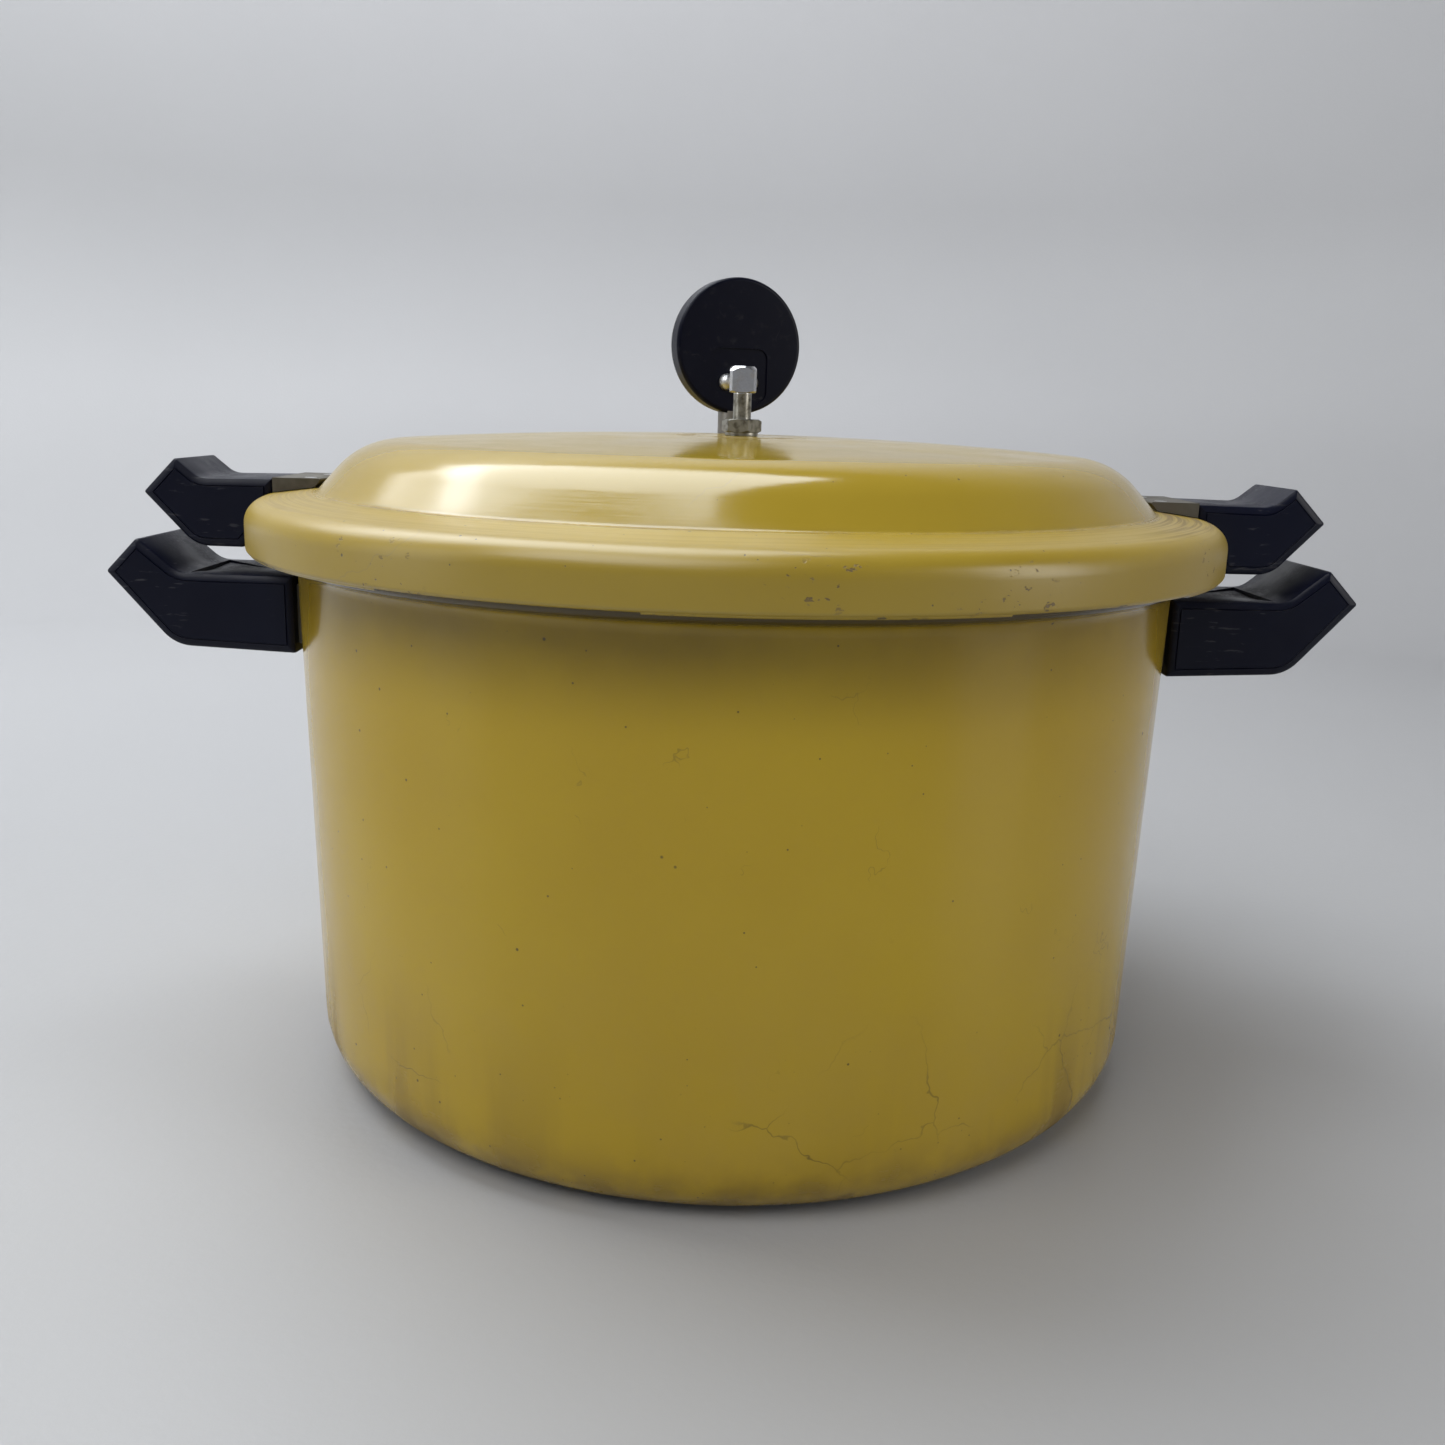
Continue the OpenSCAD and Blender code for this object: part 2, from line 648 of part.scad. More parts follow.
module movement_back_plate() {
    color([0.75, 0.6, 0.32])
    gauge_frame()
    union() {
        difference() {
            plate(plate_back_w[0], plate_back_w[1],
                  [[-11.5, 8, 2], [-11.5, -4, 2], [-8.6, -12.5, 2], [-6, -14, 1], [-6, -21.5, 1.5],
                   [6, -21.5, 1.5], [8, -14.5, 2], [11.5, 2, 2], [11.5, 8, 2]]);
            disc(arbor_d + 2 * run_gap, -2, 2);
            translate(concat(arbor, 0)) disc(arbor_d + 2 * run_gap, -2, 2);
            for (p = pillars) translate(concat(p, 0)) disc(pillar_hole_d, -2, 2);
            for (p = mount_screws) translate(concat(p, 0)) disc(1.7, -2, 2);
        }
        // stud for the hairspring's outer end
        translate(concat(hairspring_stud, 0)) disc(0.9, plate_back_w[0], link_w[1]);
    }
}

module movement_front_plate() {
    color([0.75, 0.6, 0.32])
    gauge_frame()
    difference() {
        plate(plate_front_w[0], plate_front_w[1],
              [[-11.5, 8, 2], [-11.5, -4, 2], [-8, -12.5, 2], [-6, -15.6, 1.5], [7, -15.6, 1.5], [8, -11, 2],
               [11.5, 2, 2], [11.5, 8, 2]]);
        disc(arbor_d + 2 * run_gap, 1, 4);
        translate(concat(arbor, 0)) disc(arbor_d + 2 * run_gap, 1, 4);
        for (p = pillars) translate(concat(p, 0)) disc(pillar_hole_d, 1, 4);
    }
}

module movement_pillars() {
    color([0.78, 0.64, 0.36])
    gauge_frame()
        for (p = pillars)
            translate(concat(p, 0)) {
                disc(2.4, plate_back_w[1] + 0.02, plate_front_w[0] - 0.02);
                disc(pillar_end_d, plate_back_w[0], plate_front_w[0] + 0.1);
            }
}

module movement_screws() {
    color([0.65, 0.65, 0.65])
    gauge_frame()
        for (p = mount_screws)
            translate(concat(p, plate_back_w[1] + 0.62)) mirror([0, 0, 1]) screw(2.8, 0.6, 1.4, 2.4, 0.4);
}

// An involute tooth pointing along +X
function inv_deg(r, rb) = r <= rb ? 0 : let (t = acos(rb / r)) tan(t) * 180 / PI - t;
function tooth(teeth, add, ded) =
    let (rp = gear_m * teeth / 2, rb = rp * cos(pressure_deg),
         half = (PI * gear_m / 2 - gear_backlash) / (2 * rp) * 180 / PI + inv_deg(rp, rb),
         root = rp - ded, root_half = 0.48 * 360 / teeth,
         low = max(root, rb),
         flank = [for (i = [0:5]) let (r = low + (rp + add - low) * i / 5) [r, half - inv_deg(r, rb)]])
    concat([[root * cos(root_half), -root * sin(root_half)]],
           [for (f = flank) f[0] * [cos(f[1]), -sin(f[1])]],
           [for (f = reversed(flank)) f[0] * [cos(f[1]), sin(f[1])]],
           [[root * cos(root_half), root * sin(root_half)]]);
function turned(P, a) = [for (p = P) [p.x * cos(a) - p.y * sin(a), p.x * sin(a) + p.y * cos(a)]];

module pointer_shaft() {
    step = 360 / pinion_teeth;
    color([0.7, 0.7, 0.68])
    gauge_frame() {
        disc(arbor_d, plate_back_w[0], lens_w[0] - 0.35);
        translate([0, 0, sector_w[0] - 0.1]) linear_extrude(0.55)
            polygon([for (k = [0:pinion_teeth - 1])
                each turned(tooth(pinion_teeth, 0.33, 0.4), mesh_deg + 180 + (k + 0.5) * step)]);
    }
}

module sector_gear() {
    step = 360 / sector_teeth;
    root = gear_m * sector_teeth / 2 - 0.46;
    lowest = mesh_deg - (sector_cut - 2) * step;
    color([0.78, 0.62, 0.32])
    gauge_frame()
    translate(concat(arbor, 0)) {
        translate([0, 0, sector_w[0]]) linear_extrude(sector_w[1] - sector_w[0])
        union() {
            // toothed rim on two spokes, a hub and the arm
            polygon(concat(
                [for (k = [0:sector_cut - 1]) each turned(tooth(sector_teeth, 0.22, 0.46), lowest + k * step)],
                arc([0, 0], root - 1.6, lowest + (sector_cut - 1) * step + 3, lowest - 3, 10)));
            circle(d = 4);
            for (a = [lowest, lowest + (sector_cut - 1) * step])
                rotate(a) translate([0, -0.6]) square([root - 0.4, 1.2]);
            rotate(arm_deg) translate([0, -0.7]) square([arm_len, 1.4]);
            rotate(arm_deg) translate([arm_len, 0]) circle(d = 1.8);
        }
        disc(arbor_d, plate_back_w[0], plate_front_w[1]);
        rotate([0, 0, arm_deg]) translate([arm_len, 0, 0]) disc(pin_d, sector_w[0], link_w[1] + 0.15);
    }
}

module connecting_link() {
    tip = tube_tip_at + tip_pin_in * [sin(tube_tip_deg), -cos(tube_tip_deg)];
    way = tip - arm_end;
    color([0.72, 0.58, 0.34])
    gauge_frame()
    translate(concat(arm_end, link_w[0])) rotate([0, 0, atan2(way.y, way.x)])
        linear_extrude(link_w[1] - link_w[0])
        difference() {
            union() {
                translate([0, -0.5]) square([norm(way), 1]);
                circle(d = 1.9);
                translate([norm(way), 0]) circle(d = 1.9);
            }
            circle(d = pin_d + 2 * run_gap);
            translate([norm(way), 0]) circle(d = pin_d + 2 * run_gap);
        }
}

module hairspring() {
    turns = 3.25;
    strip = 0.14;
    r0 = 1.05;
    end_deg = atan2(hairspring_stud.y, hairspring_stud.x);
    r1 = norm(hairspring_stud) - 0.5;
    n = 130;
    function spiral(i, side) =
        let (a = end_deg - 360 * turns * (1 - i / n), r = r0 + (r1 - r0) * i / n + side * strip / 2)
        r * [cos(a), sin(a)];
    color([0.6, 0.62, 0.66])
    gauge_frame()
    translate([0, 0, link_w[0] + 0.1]) linear_extrude(0.3) {
        polygon(concat([for (i = [0:n]) spiral(i, 1)], [for (i = [n:-1:0]) spiral(i, -1)]));
        difference() {
            circle(r = 1.12);
            circle(d = arbor_d + 2 * run_gap);
        }
    }
}

module gauge_dial() {
    color([0.93, 0.93, 0.9])
    gauge_frame()
    difference() {
        disc(dial_d, dial_w[0], dial_w[1]);
        disc(3.2, 0, 6);
        for (p = [pillars[0], pillars[1]]) translate(concat(p, 0)) disc(pillar_hole_d, 0, 6);
    }
}

module dial_screws() {
    color([0.65, 0.65, 0.65])
    gauge_frame()
        for (p = [pillars[0], pillars[1]])
            translate(concat(p, dial_w[1] + 0.27)) mirror([0, 0, 1]) screw(2.2, 0.25, 1.1, 0.95, 0.3);
}

module gauge_pointer() {
    rest_deg = 225;
    tip_r = 19.5;
    color([0.05, 0.05, 0.05])
    gauge_frame()
    rotate([0, 0, rest_deg])
    difference() {
        union() {
            translate([0, 0, pointer_w[0]]) linear_extrude(pointer_w[1] - pointer_w[0])
                polygon([[-6, -1], [-6, 1], [0, 0.75], [tip_r, 0.15], [tip_r, -0.15], [0, -0.75]]);
            disc(4.2, dial_w[1] + 0.25, lens_w[0] - 0.2);
        }
        disc(arbor_d, 0, lens_w[0] - 0.34);
    }
}

module gauge_lens() {
    r = gauge_d / 2 - 0.1;
    seat_w = case_front + 0.02;
    color([0.85, 0.9, 0.92, 0.4])
    gauge_frame()
    spin(outline([[r, seat_w, 0], [r, lens_w[1] - 0.2, 0.8], [20, lens_w[1], 0], [0, lens_w[1], 0],
                  [0, lens_w[0], 0], [r - case_wall, lens_w[0], 0.4], [r - case_wall, seat_w, 0]], 4));
}

// ---------- assembly ----------

pot_body();
body_handle_left();
body_handle_right();
body_handle_bracket_left();
body_handle_bracket_right();
body_bracket_rivets();
body_handle_screws();
body_handle_washers();
cooking_rack();
sealing_ring();
lid();
lid_handle_left();
lid_handle_right();
lid_handle_bracket_left();
lid_handle_bracket_right();
lid_bracket_rivets();
lid_handle_screws();
lid_handle_washers();
overpressure_plug();
vent_pipe();
vent_pipe_gasket();
vent_pipe_nut();
gauge_socket();
gauge_gasket();
gauge_nut();
gauge_case();
gauge_rivets();
bourdon_tube();
bourdon_tip();
movement_back_plate();
movement_front_plate();
movement_pillars();
movement_screws();
sector_gear();
connecting_link();
pointer_shaft();
hairspring();
gauge_dial();
dial_screws();
gauge_pointer();
gauge_lens();
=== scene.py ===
import json
import math

import bmesh
import bpy
from mathutils import Matrix, Vector


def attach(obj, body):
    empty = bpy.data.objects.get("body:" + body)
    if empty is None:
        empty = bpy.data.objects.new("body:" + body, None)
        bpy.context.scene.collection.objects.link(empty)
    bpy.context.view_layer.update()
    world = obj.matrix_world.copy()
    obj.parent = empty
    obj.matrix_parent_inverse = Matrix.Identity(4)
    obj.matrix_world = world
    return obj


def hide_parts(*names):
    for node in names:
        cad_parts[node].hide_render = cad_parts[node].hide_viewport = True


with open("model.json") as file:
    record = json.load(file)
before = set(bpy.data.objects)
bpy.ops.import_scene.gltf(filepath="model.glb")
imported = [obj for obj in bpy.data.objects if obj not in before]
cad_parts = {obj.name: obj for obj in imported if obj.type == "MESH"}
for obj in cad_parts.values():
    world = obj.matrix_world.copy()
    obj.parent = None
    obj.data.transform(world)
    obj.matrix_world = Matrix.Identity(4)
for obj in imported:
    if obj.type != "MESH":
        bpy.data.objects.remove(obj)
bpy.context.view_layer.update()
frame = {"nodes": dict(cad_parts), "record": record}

NODES = frame["nodes"]

# All lengths below are millimetres, and MM turns them into Blender's metres.
MM = 0.001
ROUND = 256                 # segments round the pot and the lid
SHARP_DEG = 32              # edges that turn more than this are drawn sharp

# The pot
WALL_T = 3.2
FLOOR_T = 5
WALL_LOW_R = 157.4
WALL_TOP_R = 161.1
CORNER_R = 20
STEP_Z = 187.5
STEP_SLOPE = 10.4           # degrees
STEP_CURVE_R = 4.4
RIM_R = 168.6
RIM_Z = 203
LUGS = 6
LUG_PHASE = 38

# The lid
SKIRT_R = 178
SKIRT_Z = 191.7
LID_T = 3
LEDGE_Z = 208.2
FOOT = (153.8, 211.5)
SHOULDER_R = 138
SHOULDER_CURVE_R = 30
CROWN_Z = 234.5
CROWN_CURVE = 1766
VENT = (1, -20)
GAUGE = (-1.5, 20, 267.3)
PLUG_Y = 112
PIPE_HOLE_R = 4.8
PLUG_HOLE_R = 6.3

# One lug: inner and outer radius, bottom, top, width in degrees, radius of its outer edges
POT_LUG = (RIM_R - 1, 174.2, 196.3, 200.3, 24, 0.8)
LID_LUG = (169.5, SKIRT_R - 0.8, SKIRT_Z - 0.6, 195.7, 33, 1.1)

# Corners (x, z, radius) of the right-hand handles, seen from the front
BODY_HANDLE = [(163.2, 150, 1), (208.5, 152, 14), (232.2, 179.2, 1.2), (220.2, 191.8, 1.5),
               (205.5, 179.3, 10), (163.2, 179, 0.8)]
BODY_HANDLE_W = 49
LID_HANDLE = [(182.6, 188.8, 1), (200, 188.9, 12), (218, 208.3, 1), (205.8, 221, 1.3),
              (197.2, 213.9, 8), (170.4, 214.3, 0.6), (170.4, 200, 0.3), (176, 196, 0.3)]
LID_HANDLE_W = 41
SCREW_X = 190
SCREW_BORE_R = 5.6
# The slots that the brackets sit in, as opposite corners
BODY_SLOT = ((160, -9.2, 160.8), (200.6, 9.2, 167.2))
LID_SLOT = ((165, -13.2, 209.4), (199.2, 13.2, 212.6))

# The gauge and its dial
GAUGE_YAW = math.radians(21)
DIAL_FRONT = 2.35
INK_T = 0.03
MARK_R = 21.4               # outer end of the marks
RING_R = 21.75
NUMBER_R = 14
NUMBER_SIZE = 5.2
ZERO_DEG = 225
SWEEP_DEG = 270
FULL_SCALE = 20

# The camera: a phone held in front of the pot, a little above its rim, and slightly tilted
CAMERA_BACK = 520.7
CAMERA_UP = 243.5
CAMERA_LENS = 33.54
CAMERA_PITCH = math.radians(13.09)
CAMERA_ROLL = math.radians(1.63)
CAMERA_YAW = math.radians(-0.30)
CAMERA_SIDE = math.radians(0.75)


# ---------- outlines ----------

def rounded(corners, steps=8):
    """A closed outline from corners (x, z, radius), with each corner rounded by an arc."""
    out = []
    for i, (x, z, radius) in enumerate(corners):
        b = Vector((x, z))
        if radius == 0:
            out.append(b)
            continue
        u = (Vector(corners[i - 1][:2]) - b).normalized()
        v = (Vector(corners[(i + 1) % len(corners)][:2]) - b).normalized()
        half = u.angle(v) / 2
        centre = b + (u + v).normalized() * radius / math.sin(half)
        p = b + u * radius / math.tan(half) - centre
        q = b + v * radius / math.tan(half) - centre
        start = math.atan2(p.y, p.x)
        turn = (math.atan2(q.y, q.x) - start + math.pi) % (2 * math.pi) - math.pi
        for k in range(steps + 1):
            a = start + turn * k / steps
            out.append(centre + radius * Vector((math.cos(a), math.sin(a))))
    return out


def moved_left(corners, t):
    """An open row of corners moved by t to the left of its own direction."""
    out = []
    last = len(corners) - 1
    for i, (x, z, radius) in enumerate(corners):
        sides = []
        for a, b in ((max(i - 1, 0), max(i, 1)), (min(i, last - 1), min(i + 1, last))):
            d = (Vector(corners[b][:2]) - Vector(corners[a][:2])).normalized()
            sides.append(Vector((-d.y, d.x)))
        n1, n2 = sides
        p = Vector((x, z)) + t * (n1 + n2) / (1 + n1.dot(n2))
        turn = n1.x * n2.y - n1.y * n2.x
        r = 0 if radius == 0 else max(radius - math.copysign(t, turn), 0.3)
        out.append((max(p.x, 0), p.y, r))
    return out


def filled(points, step):
    """The outline with its long straight stretches divided, so that bevels and waves have points."""
    out = []
    for a, b in zip(points, points[1:] + points[:1]):
        parts = max(1, math.ceil((b - a).length / step))
        out += [a.lerp(b, k / parts) for k in range(parts)]
    return out


def inset(corners, t):
    """The closed outline's corners moved inwards by t. The outline runs anticlockwise."""
    out = []
    for i, (x, z, radius) in enumerate(corners):
        here = Vector((x, z))
        u = (here - Vector(corners[i - 1][:2])).normalized()
        v = (Vector(corners[(i + 1) % len(corners)][:2]) - here).normalized()
        n1, n2 = Vector((-u.y, u.x)), Vector((-v.y, v.x))
        convex = u.x * v.y - u.y * v.x > 0
        moved = here + t * (n1 + n2) / (1 + n1.dot(n2))
        out.append((moved.x, moved.y, max(radius - t, 0.25) if convex else radius + t))
    return out


# ---------- meshes ----------

def finished(name, bm, sharp=SHARP_DEG, scale=MM):
    """A new object from bm in millimetres, smooth except along edges sharper than sharp degrees."""
    bmesh.ops.recalc_face_normals(bm, faces=bm.faces)
    mesh = bpy.data.meshes.new(name)
    bm.to_mesh(mesh)
    bm.free()
    mesh.transform(Matrix.Scale(scale, 4))
    mesh.shade_smooth()
    mesh.set_sharp_from_angle(angle=math.radians(sharp))
    piece = bpy.data.objects.new(name, mesh)
    bpy.context.scene.collection.objects.link(piece)
    return piece


def add_lathe(bm, points, start=0.0, sweep=360.0, segments=ROUND):
    """Turns the closed outline (r, z) about Z, all the way or from start through sweep degrees."""
    full = sweep >= 360
    count = segments if full else max(4, round(segments * sweep / 360))
    angles = [math.radians(start + sweep * k / count) for k in range(count if full else count + 1)]
    rows = []
    for r, z in points:
        if r < 0.01 and full:
            rows.append([bm.verts.new((0, 0, z))])
        else:
            rows.append([bm.verts.new((r * math.cos(a), r * math.sin(a), z)) for a in angles])
    for one, two in zip(rows, rows[1:] + rows[:1]):
        if len(one) == 1 and len(two) == 1:
            continue
        for k in range(count):
            m = (k + 1) % len(angles)
            corners = [one[k % len(one)], one[m % len(one)], two[m % len(two)], two[k % len(two)]]
            bm.faces.new(list(dict.fromkeys(corners)))
    if not full:
        bm.faces.new([row[0] for row in rows])
        bm.faces.new([row[-1] for row in rows])


def add_box(bm, low, high):
    xs, ys, zs = zip(low, high)
    corners = [bm.verts.new((x, y, z)) for x in xs for y in ys for z in zs]
    for face in ((0, 1, 3, 2), (4, 6, 7, 5), (0, 4, 5, 1), (2, 3, 7, 6), (0, 2, 6, 4), (1, 5, 7, 3)):
        bm.faces.new([corners[i] for i in face])


def add_rod(bm, radius, low, high, at=(0, 0), segments=48):
    """An upright cylinder."""
    ring = [Vector((at[0] + radius * math.cos(a), at[1] + radius * math.sin(a)))
            for a in (2 * math.pi * k / segments for k in range(segments))]
    bottom = [bm.verts.new((p.x, p.y, low)) for p in ring]
    top = [bm.verts.new((p.x, p.y, high)) for p in ring]
    bm.faces.new(bottom)
    bm.faces.new(top)
    for k in range(segments):
        m = (k + 1) % segments
        bm.faces.new([bottom[k], bottom[m], top[m], top[k]])


def mesh_boolean(piece, tool, operation):
    """Applies a boolean to piece and removes the tool."""
    step = piece.modifiers.new("cut", "BOOLEAN")
    step.operation = operation
    step.solver = "MANIFOLD"
    step.object = tool
    depsgraph = bpy.context.evaluated_depsgraph_get()
    mesh = bpy.data.meshes.new_from_object(piece.evaluated_get(depsgraph))
    mesh.materials.clear()
    mesh.set_sharp_from_angle(angle=math.radians(SHARP_DEG))
    piece.modifiers.clear()
    piece.data = mesh
    bpy.data.objects.remove(tool)
    return piece


# ---------- materials ----------

class Paint:
    """A material's nodes, with a short call for each kind. Lengths in its coordinates are metres."""

    def __init__(self, name, **shader):
        self.material = bpy.data.materials.new(name)
        self.material.use_nodes = True
        self.tree = self.material.node_tree
        self.tree.nodes.clear()
        self.shader = self.tree.nodes.new("ShaderNodeBsdfPrincipled")
        output = self.tree.nodes.new("ShaderNodeOutputMaterial")
        self.tree.links.new(self.shader.outputs[0], output.inputs[0])
        self.place = self.tree.nodes.new("ShaderNodeTexCoord").outputs["Object"]
        self.set(**shader)

    def set(self, **values):
        for key, value in values.items():
            self.put(self.shader.inputs[key.replace("_", " ")], value)

    def put(self, socket, value):
        if isinstance(value, bpy.types.NodeSocket):
            self.tree.links.new(value, socket)
        elif socket.type == "RGBA" and len(value) == 3:
            socket.default_value = (*value, 1)
        else:
            socket.default_value = value

    def node(self, kind, inputs, **settings):
        made = self.tree.nodes.new(kind)
        for key, value in settings.items():
            setattr(made, key, value)
        for key, value in inputs.items():
            self.put(made.inputs[key], value)
        return made

    def math(self, operation, a, b=0.0):
        return self.node("ShaderNodeMath", {0: a, 1: b}, operation=operation).outputs[0]

    def times(self, *values):
        out = values[0]
        for value in values[1:]:
            out = self.math("MULTIPLY", out, value)
        return out

    def plus(self, *values):
        out = values[0]
        for value in values[1:]:
            out = self.math("ADD", out, value)
        return out

    def step(self, value, low, high, to_low=0.0, to_high=1.0):
        """A smooth step of value from low to high."""
        inputs = {"Value": value, "From Min": low, "From Max": high, "To Min": to_low, "To Max": to_high}
        return self.node("ShaderNodeMapRange", inputs, interpolation_type="SMOOTHSTEP").outputs[0]

    def split(self, vector=None):
        return self.node("ShaderNodeSeparateXYZ", {0: vector or self.place}).outputs

    def stretched(self, x, y, z):
        return self.node("ShaderNodeMapping", {"Vector": self.place, "Scale": (x, y, z)}).outputs[0]

    def noise(self, scale, detail=3.0, place=None, rough=0.5):
        inputs = {"Vector": place or self.place, "Scale": scale, "Detail": detail, "Roughness": rough}
        return self.node("ShaderNodeTexNoise", inputs).outputs["Fac"]

    def cells(self, scale, place=None, feature="F1"):
        inputs = {"Vector": place or self.place, "Scale": scale}
        return self.node("ShaderNodeTexVoronoi", inputs, feature=feature).outputs

    def mix(self, share, a, b):
        return self.node("ShaderNodeMix", {0: share, 6: a, 7: b}, data_type="RGBA").outputs[2]

    def join(self, x, y, z):
        return self.node("ShaderNodeCombineXYZ", {0: x, 1: y, 2: z}).outputs[0]

    def bump(self, height, distance):
        made = self.node("ShaderNodeBump", {"Height": height, "Distance": distance, "Strength": 1.0})
        self.set(Normal=made.outputs[0])

    def radius(self, centre=(0, 0)):
        """Distance from a vertical line, in metres."""
        x, y, _ = self.split()
        dx = self.math("SUBTRACT", x, centre[0])
        dy = self.math("SUBTRACT", y, centre[1])
        return self.math("SQRT", self.plus(self.times(dx, dx), self.times(dy, dy)))


def specks(p, scale, size, keep):
    """Small round specks, size times a cell wide, in the share keep of the cells."""
    cell = p.cells(scale)
    chosen = p.step(p.split(cell["Color"])[0], keep, keep + 0.01, 1, 0)
    return p.times(p.step(cell["Distance"], size * 0.6, size, 1, 0), chosen)


def cracks(p, scale, width, bend=0.012):
    """Thin wandering lines along the borders of cells that a noise has bent."""
    waves = p.node("ShaderNodeTexNoise", {"Vector": p.place, "Scale": 90, "Detail": 3}).outputs["Color"]
    inputs = {0: waves, 1: (bend, bend, bend), 2: p.place}
    moved = p.node("ShaderNodeVectorMath", inputs, operation="MULTIPLY_ADD").outputs[0]
    return p.step(p.cells(scale, moved, "DISTANCE_TO_EDGE")["Distance"], 0, width, 1, 0)


# Colours. Each enamel drifts between its two. The lid is the same enamel as the pot; its colours are
# painted about a quarter darker, as painted shade against the stronger light on its upward faces.
POT_COLOURS = ((0.46, 0.303, 0.013), (0.495, 0.336, 0.014))
SHADED_LID_COLOURS = ((0.34, 0.229, 0.014), (0.37, 0.255, 0.018))
SCORCH = (0.14, 0.085, 0.024)
GRIME = (0.03, 0.023, 0.014)
BARE = (0.36, 0.35, 0.33)


def enamel_base(name, colours, shine):
    """Harvest-gold enamel with a slow drift of colour, and fine brushed polishing lines."""
    p = Paint(name, Roughness=0.2, Specular_IOR_Level=shine)
    drift = p.noise(9, 3)
    colour = p.mix(p.step(drift, 0.35, 0.7), *colours)
    lines = p.noise(1, 2, p.stretched(40, 40, 2600))
    mottle = p.noise(700, 2)
    rough = p.plus(p.step(p.noise(35, 4), 0.3, 0.75, 0.1, 0.17), p.times(lines, 0.05))
    height = p.plus(p.times(lines, 0.5), p.times(mottle, 0.25), p.times(p.noise(60, 2), 4.0))
    return p, colour, rough, height


def pot_enamel():
    p, colour, rough, height = enamel_base("pot_enamel", POT_COLOURS, 0.46)
    x, _, z = p.split()
    low = p.step(z, 0.004, 0.075, 1, 0)
    # brown scorch that climbs from the base in upright streaks, mostly left and right of the front
    streaks = p.noise(1, 3, p.stretched(55, 55, 7))
    sides = p.step(p.math("ABSOLUTE", x), 0.02, 0.12)
    scorch = p.times(low, p.step(streaks, 0.42, 0.66), p.plus(p.times(sides, 0.75), 0.12))
    colour = p.mix(p.times(scorch, 0.62), colour, SCORCH)
    # a wide faint tan stain over the lower half
    stain = p.times(p.step(z, 0.02, 0.12, 1, 0), p.step(p.noise(16, 4), 0.4, 0.7))
    colour = p.mix(p.times(stain, 0.22), colour, (0.36, 0.235, 0.085))
    # smoke film round the bottom corner
    smoke = p.times(p.step(z, 0.002, 0.03, 1, 0), p.step(p.noise(70, 4), 0.3, 0.65))
    colour = p.mix(p.times(smoke, 0.6), colour, SCORCH)
    # grease film with painted shade, in the shelter of the lid's skirt
    film_and_shade = p.times(p.step(z, 0.150, 0.186), p.step(p.noise(40, 4), 0.2, 0.8, 0.7, 1.0))
    colour = p.mix(p.times(film_and_shade, 0.68), colour, (0.13, 0.08, 0.005))
    # painted shade in the gap under the skirt, darkest at the joint
    skirt_gap_shade = p.times(p.step(z, 0.1862, 0.1882), p.step(z, 0.193, 0.196, 1, 0))
    colour = p.mix(p.times(skirt_gap_shade, 0.85), colour, (0.03, 0.02, 0.006))
    # hairline cracks near the base, dark specks all over
    near_base = p.times(p.step(z, 0.02, 0.075, 1, 0), p.step(p.noise(14, 2), 0.5, 0.6))
    cracked = p.times(cracks(p, 22, 0.008), near_base)
    dots = p.plus(specks(p, 45, 0.04, 0.35), specks(p, 110, 0.065, 0.22), specks(p, 260, 0.1, 0.09))
    patches = p.times(p.step(p.noise(45, 2), 0.58, 0.64), p.step(z, 0.03, 0.08, 1, 0))
    pits = p.times(specks(p, 420, 0.14, 0.6), patches)
    colour = p.mix(p.times(cracked, 0.7), colour, GRIME)
    colour = p.mix(p.times(pits, 0.7), colour, GRIME)
    colour = p.mix(p.times(dots, 0.8), colour, GRIME)
    # short dark scratches
    some = p.times(p.step(p.noise(60, 2), 0.6, 0.64), p.step(p.noise(11, 2), 0.5, 0.6))
    scratch = p.times(cracks(p, 16, 0.005, 0.03), some)
    colour = p.mix(p.times(scratch, 0.5), colour, (0.13, 0.085, 0.01))
    # bare metal where the edge of the base has rubbed
    edge = p.step(p.plus(z, p.times(p.noise(120, 4), 0.008)), 0.0055, 0.0085, 1, 0)
    colour = p.mix(edge, colour, p.mix(p.noise(60, 3), (0.16, 0.15, 0.14), BARE))
    rough = p.plus(rough, p.times(scorch, 0.25), p.times(edge, 0.3), p.times(smoke, 0.15))
    p.set(Base_Color=colour, Roughness=rough, Metallic=p.times(edge, 0.85))
    height = p.plus(height, p.times(edge, -3.0), p.times(cracked, -2.0), p.times(dots, -2.0))
    p.bump(height, 0.00002)
    return p.material


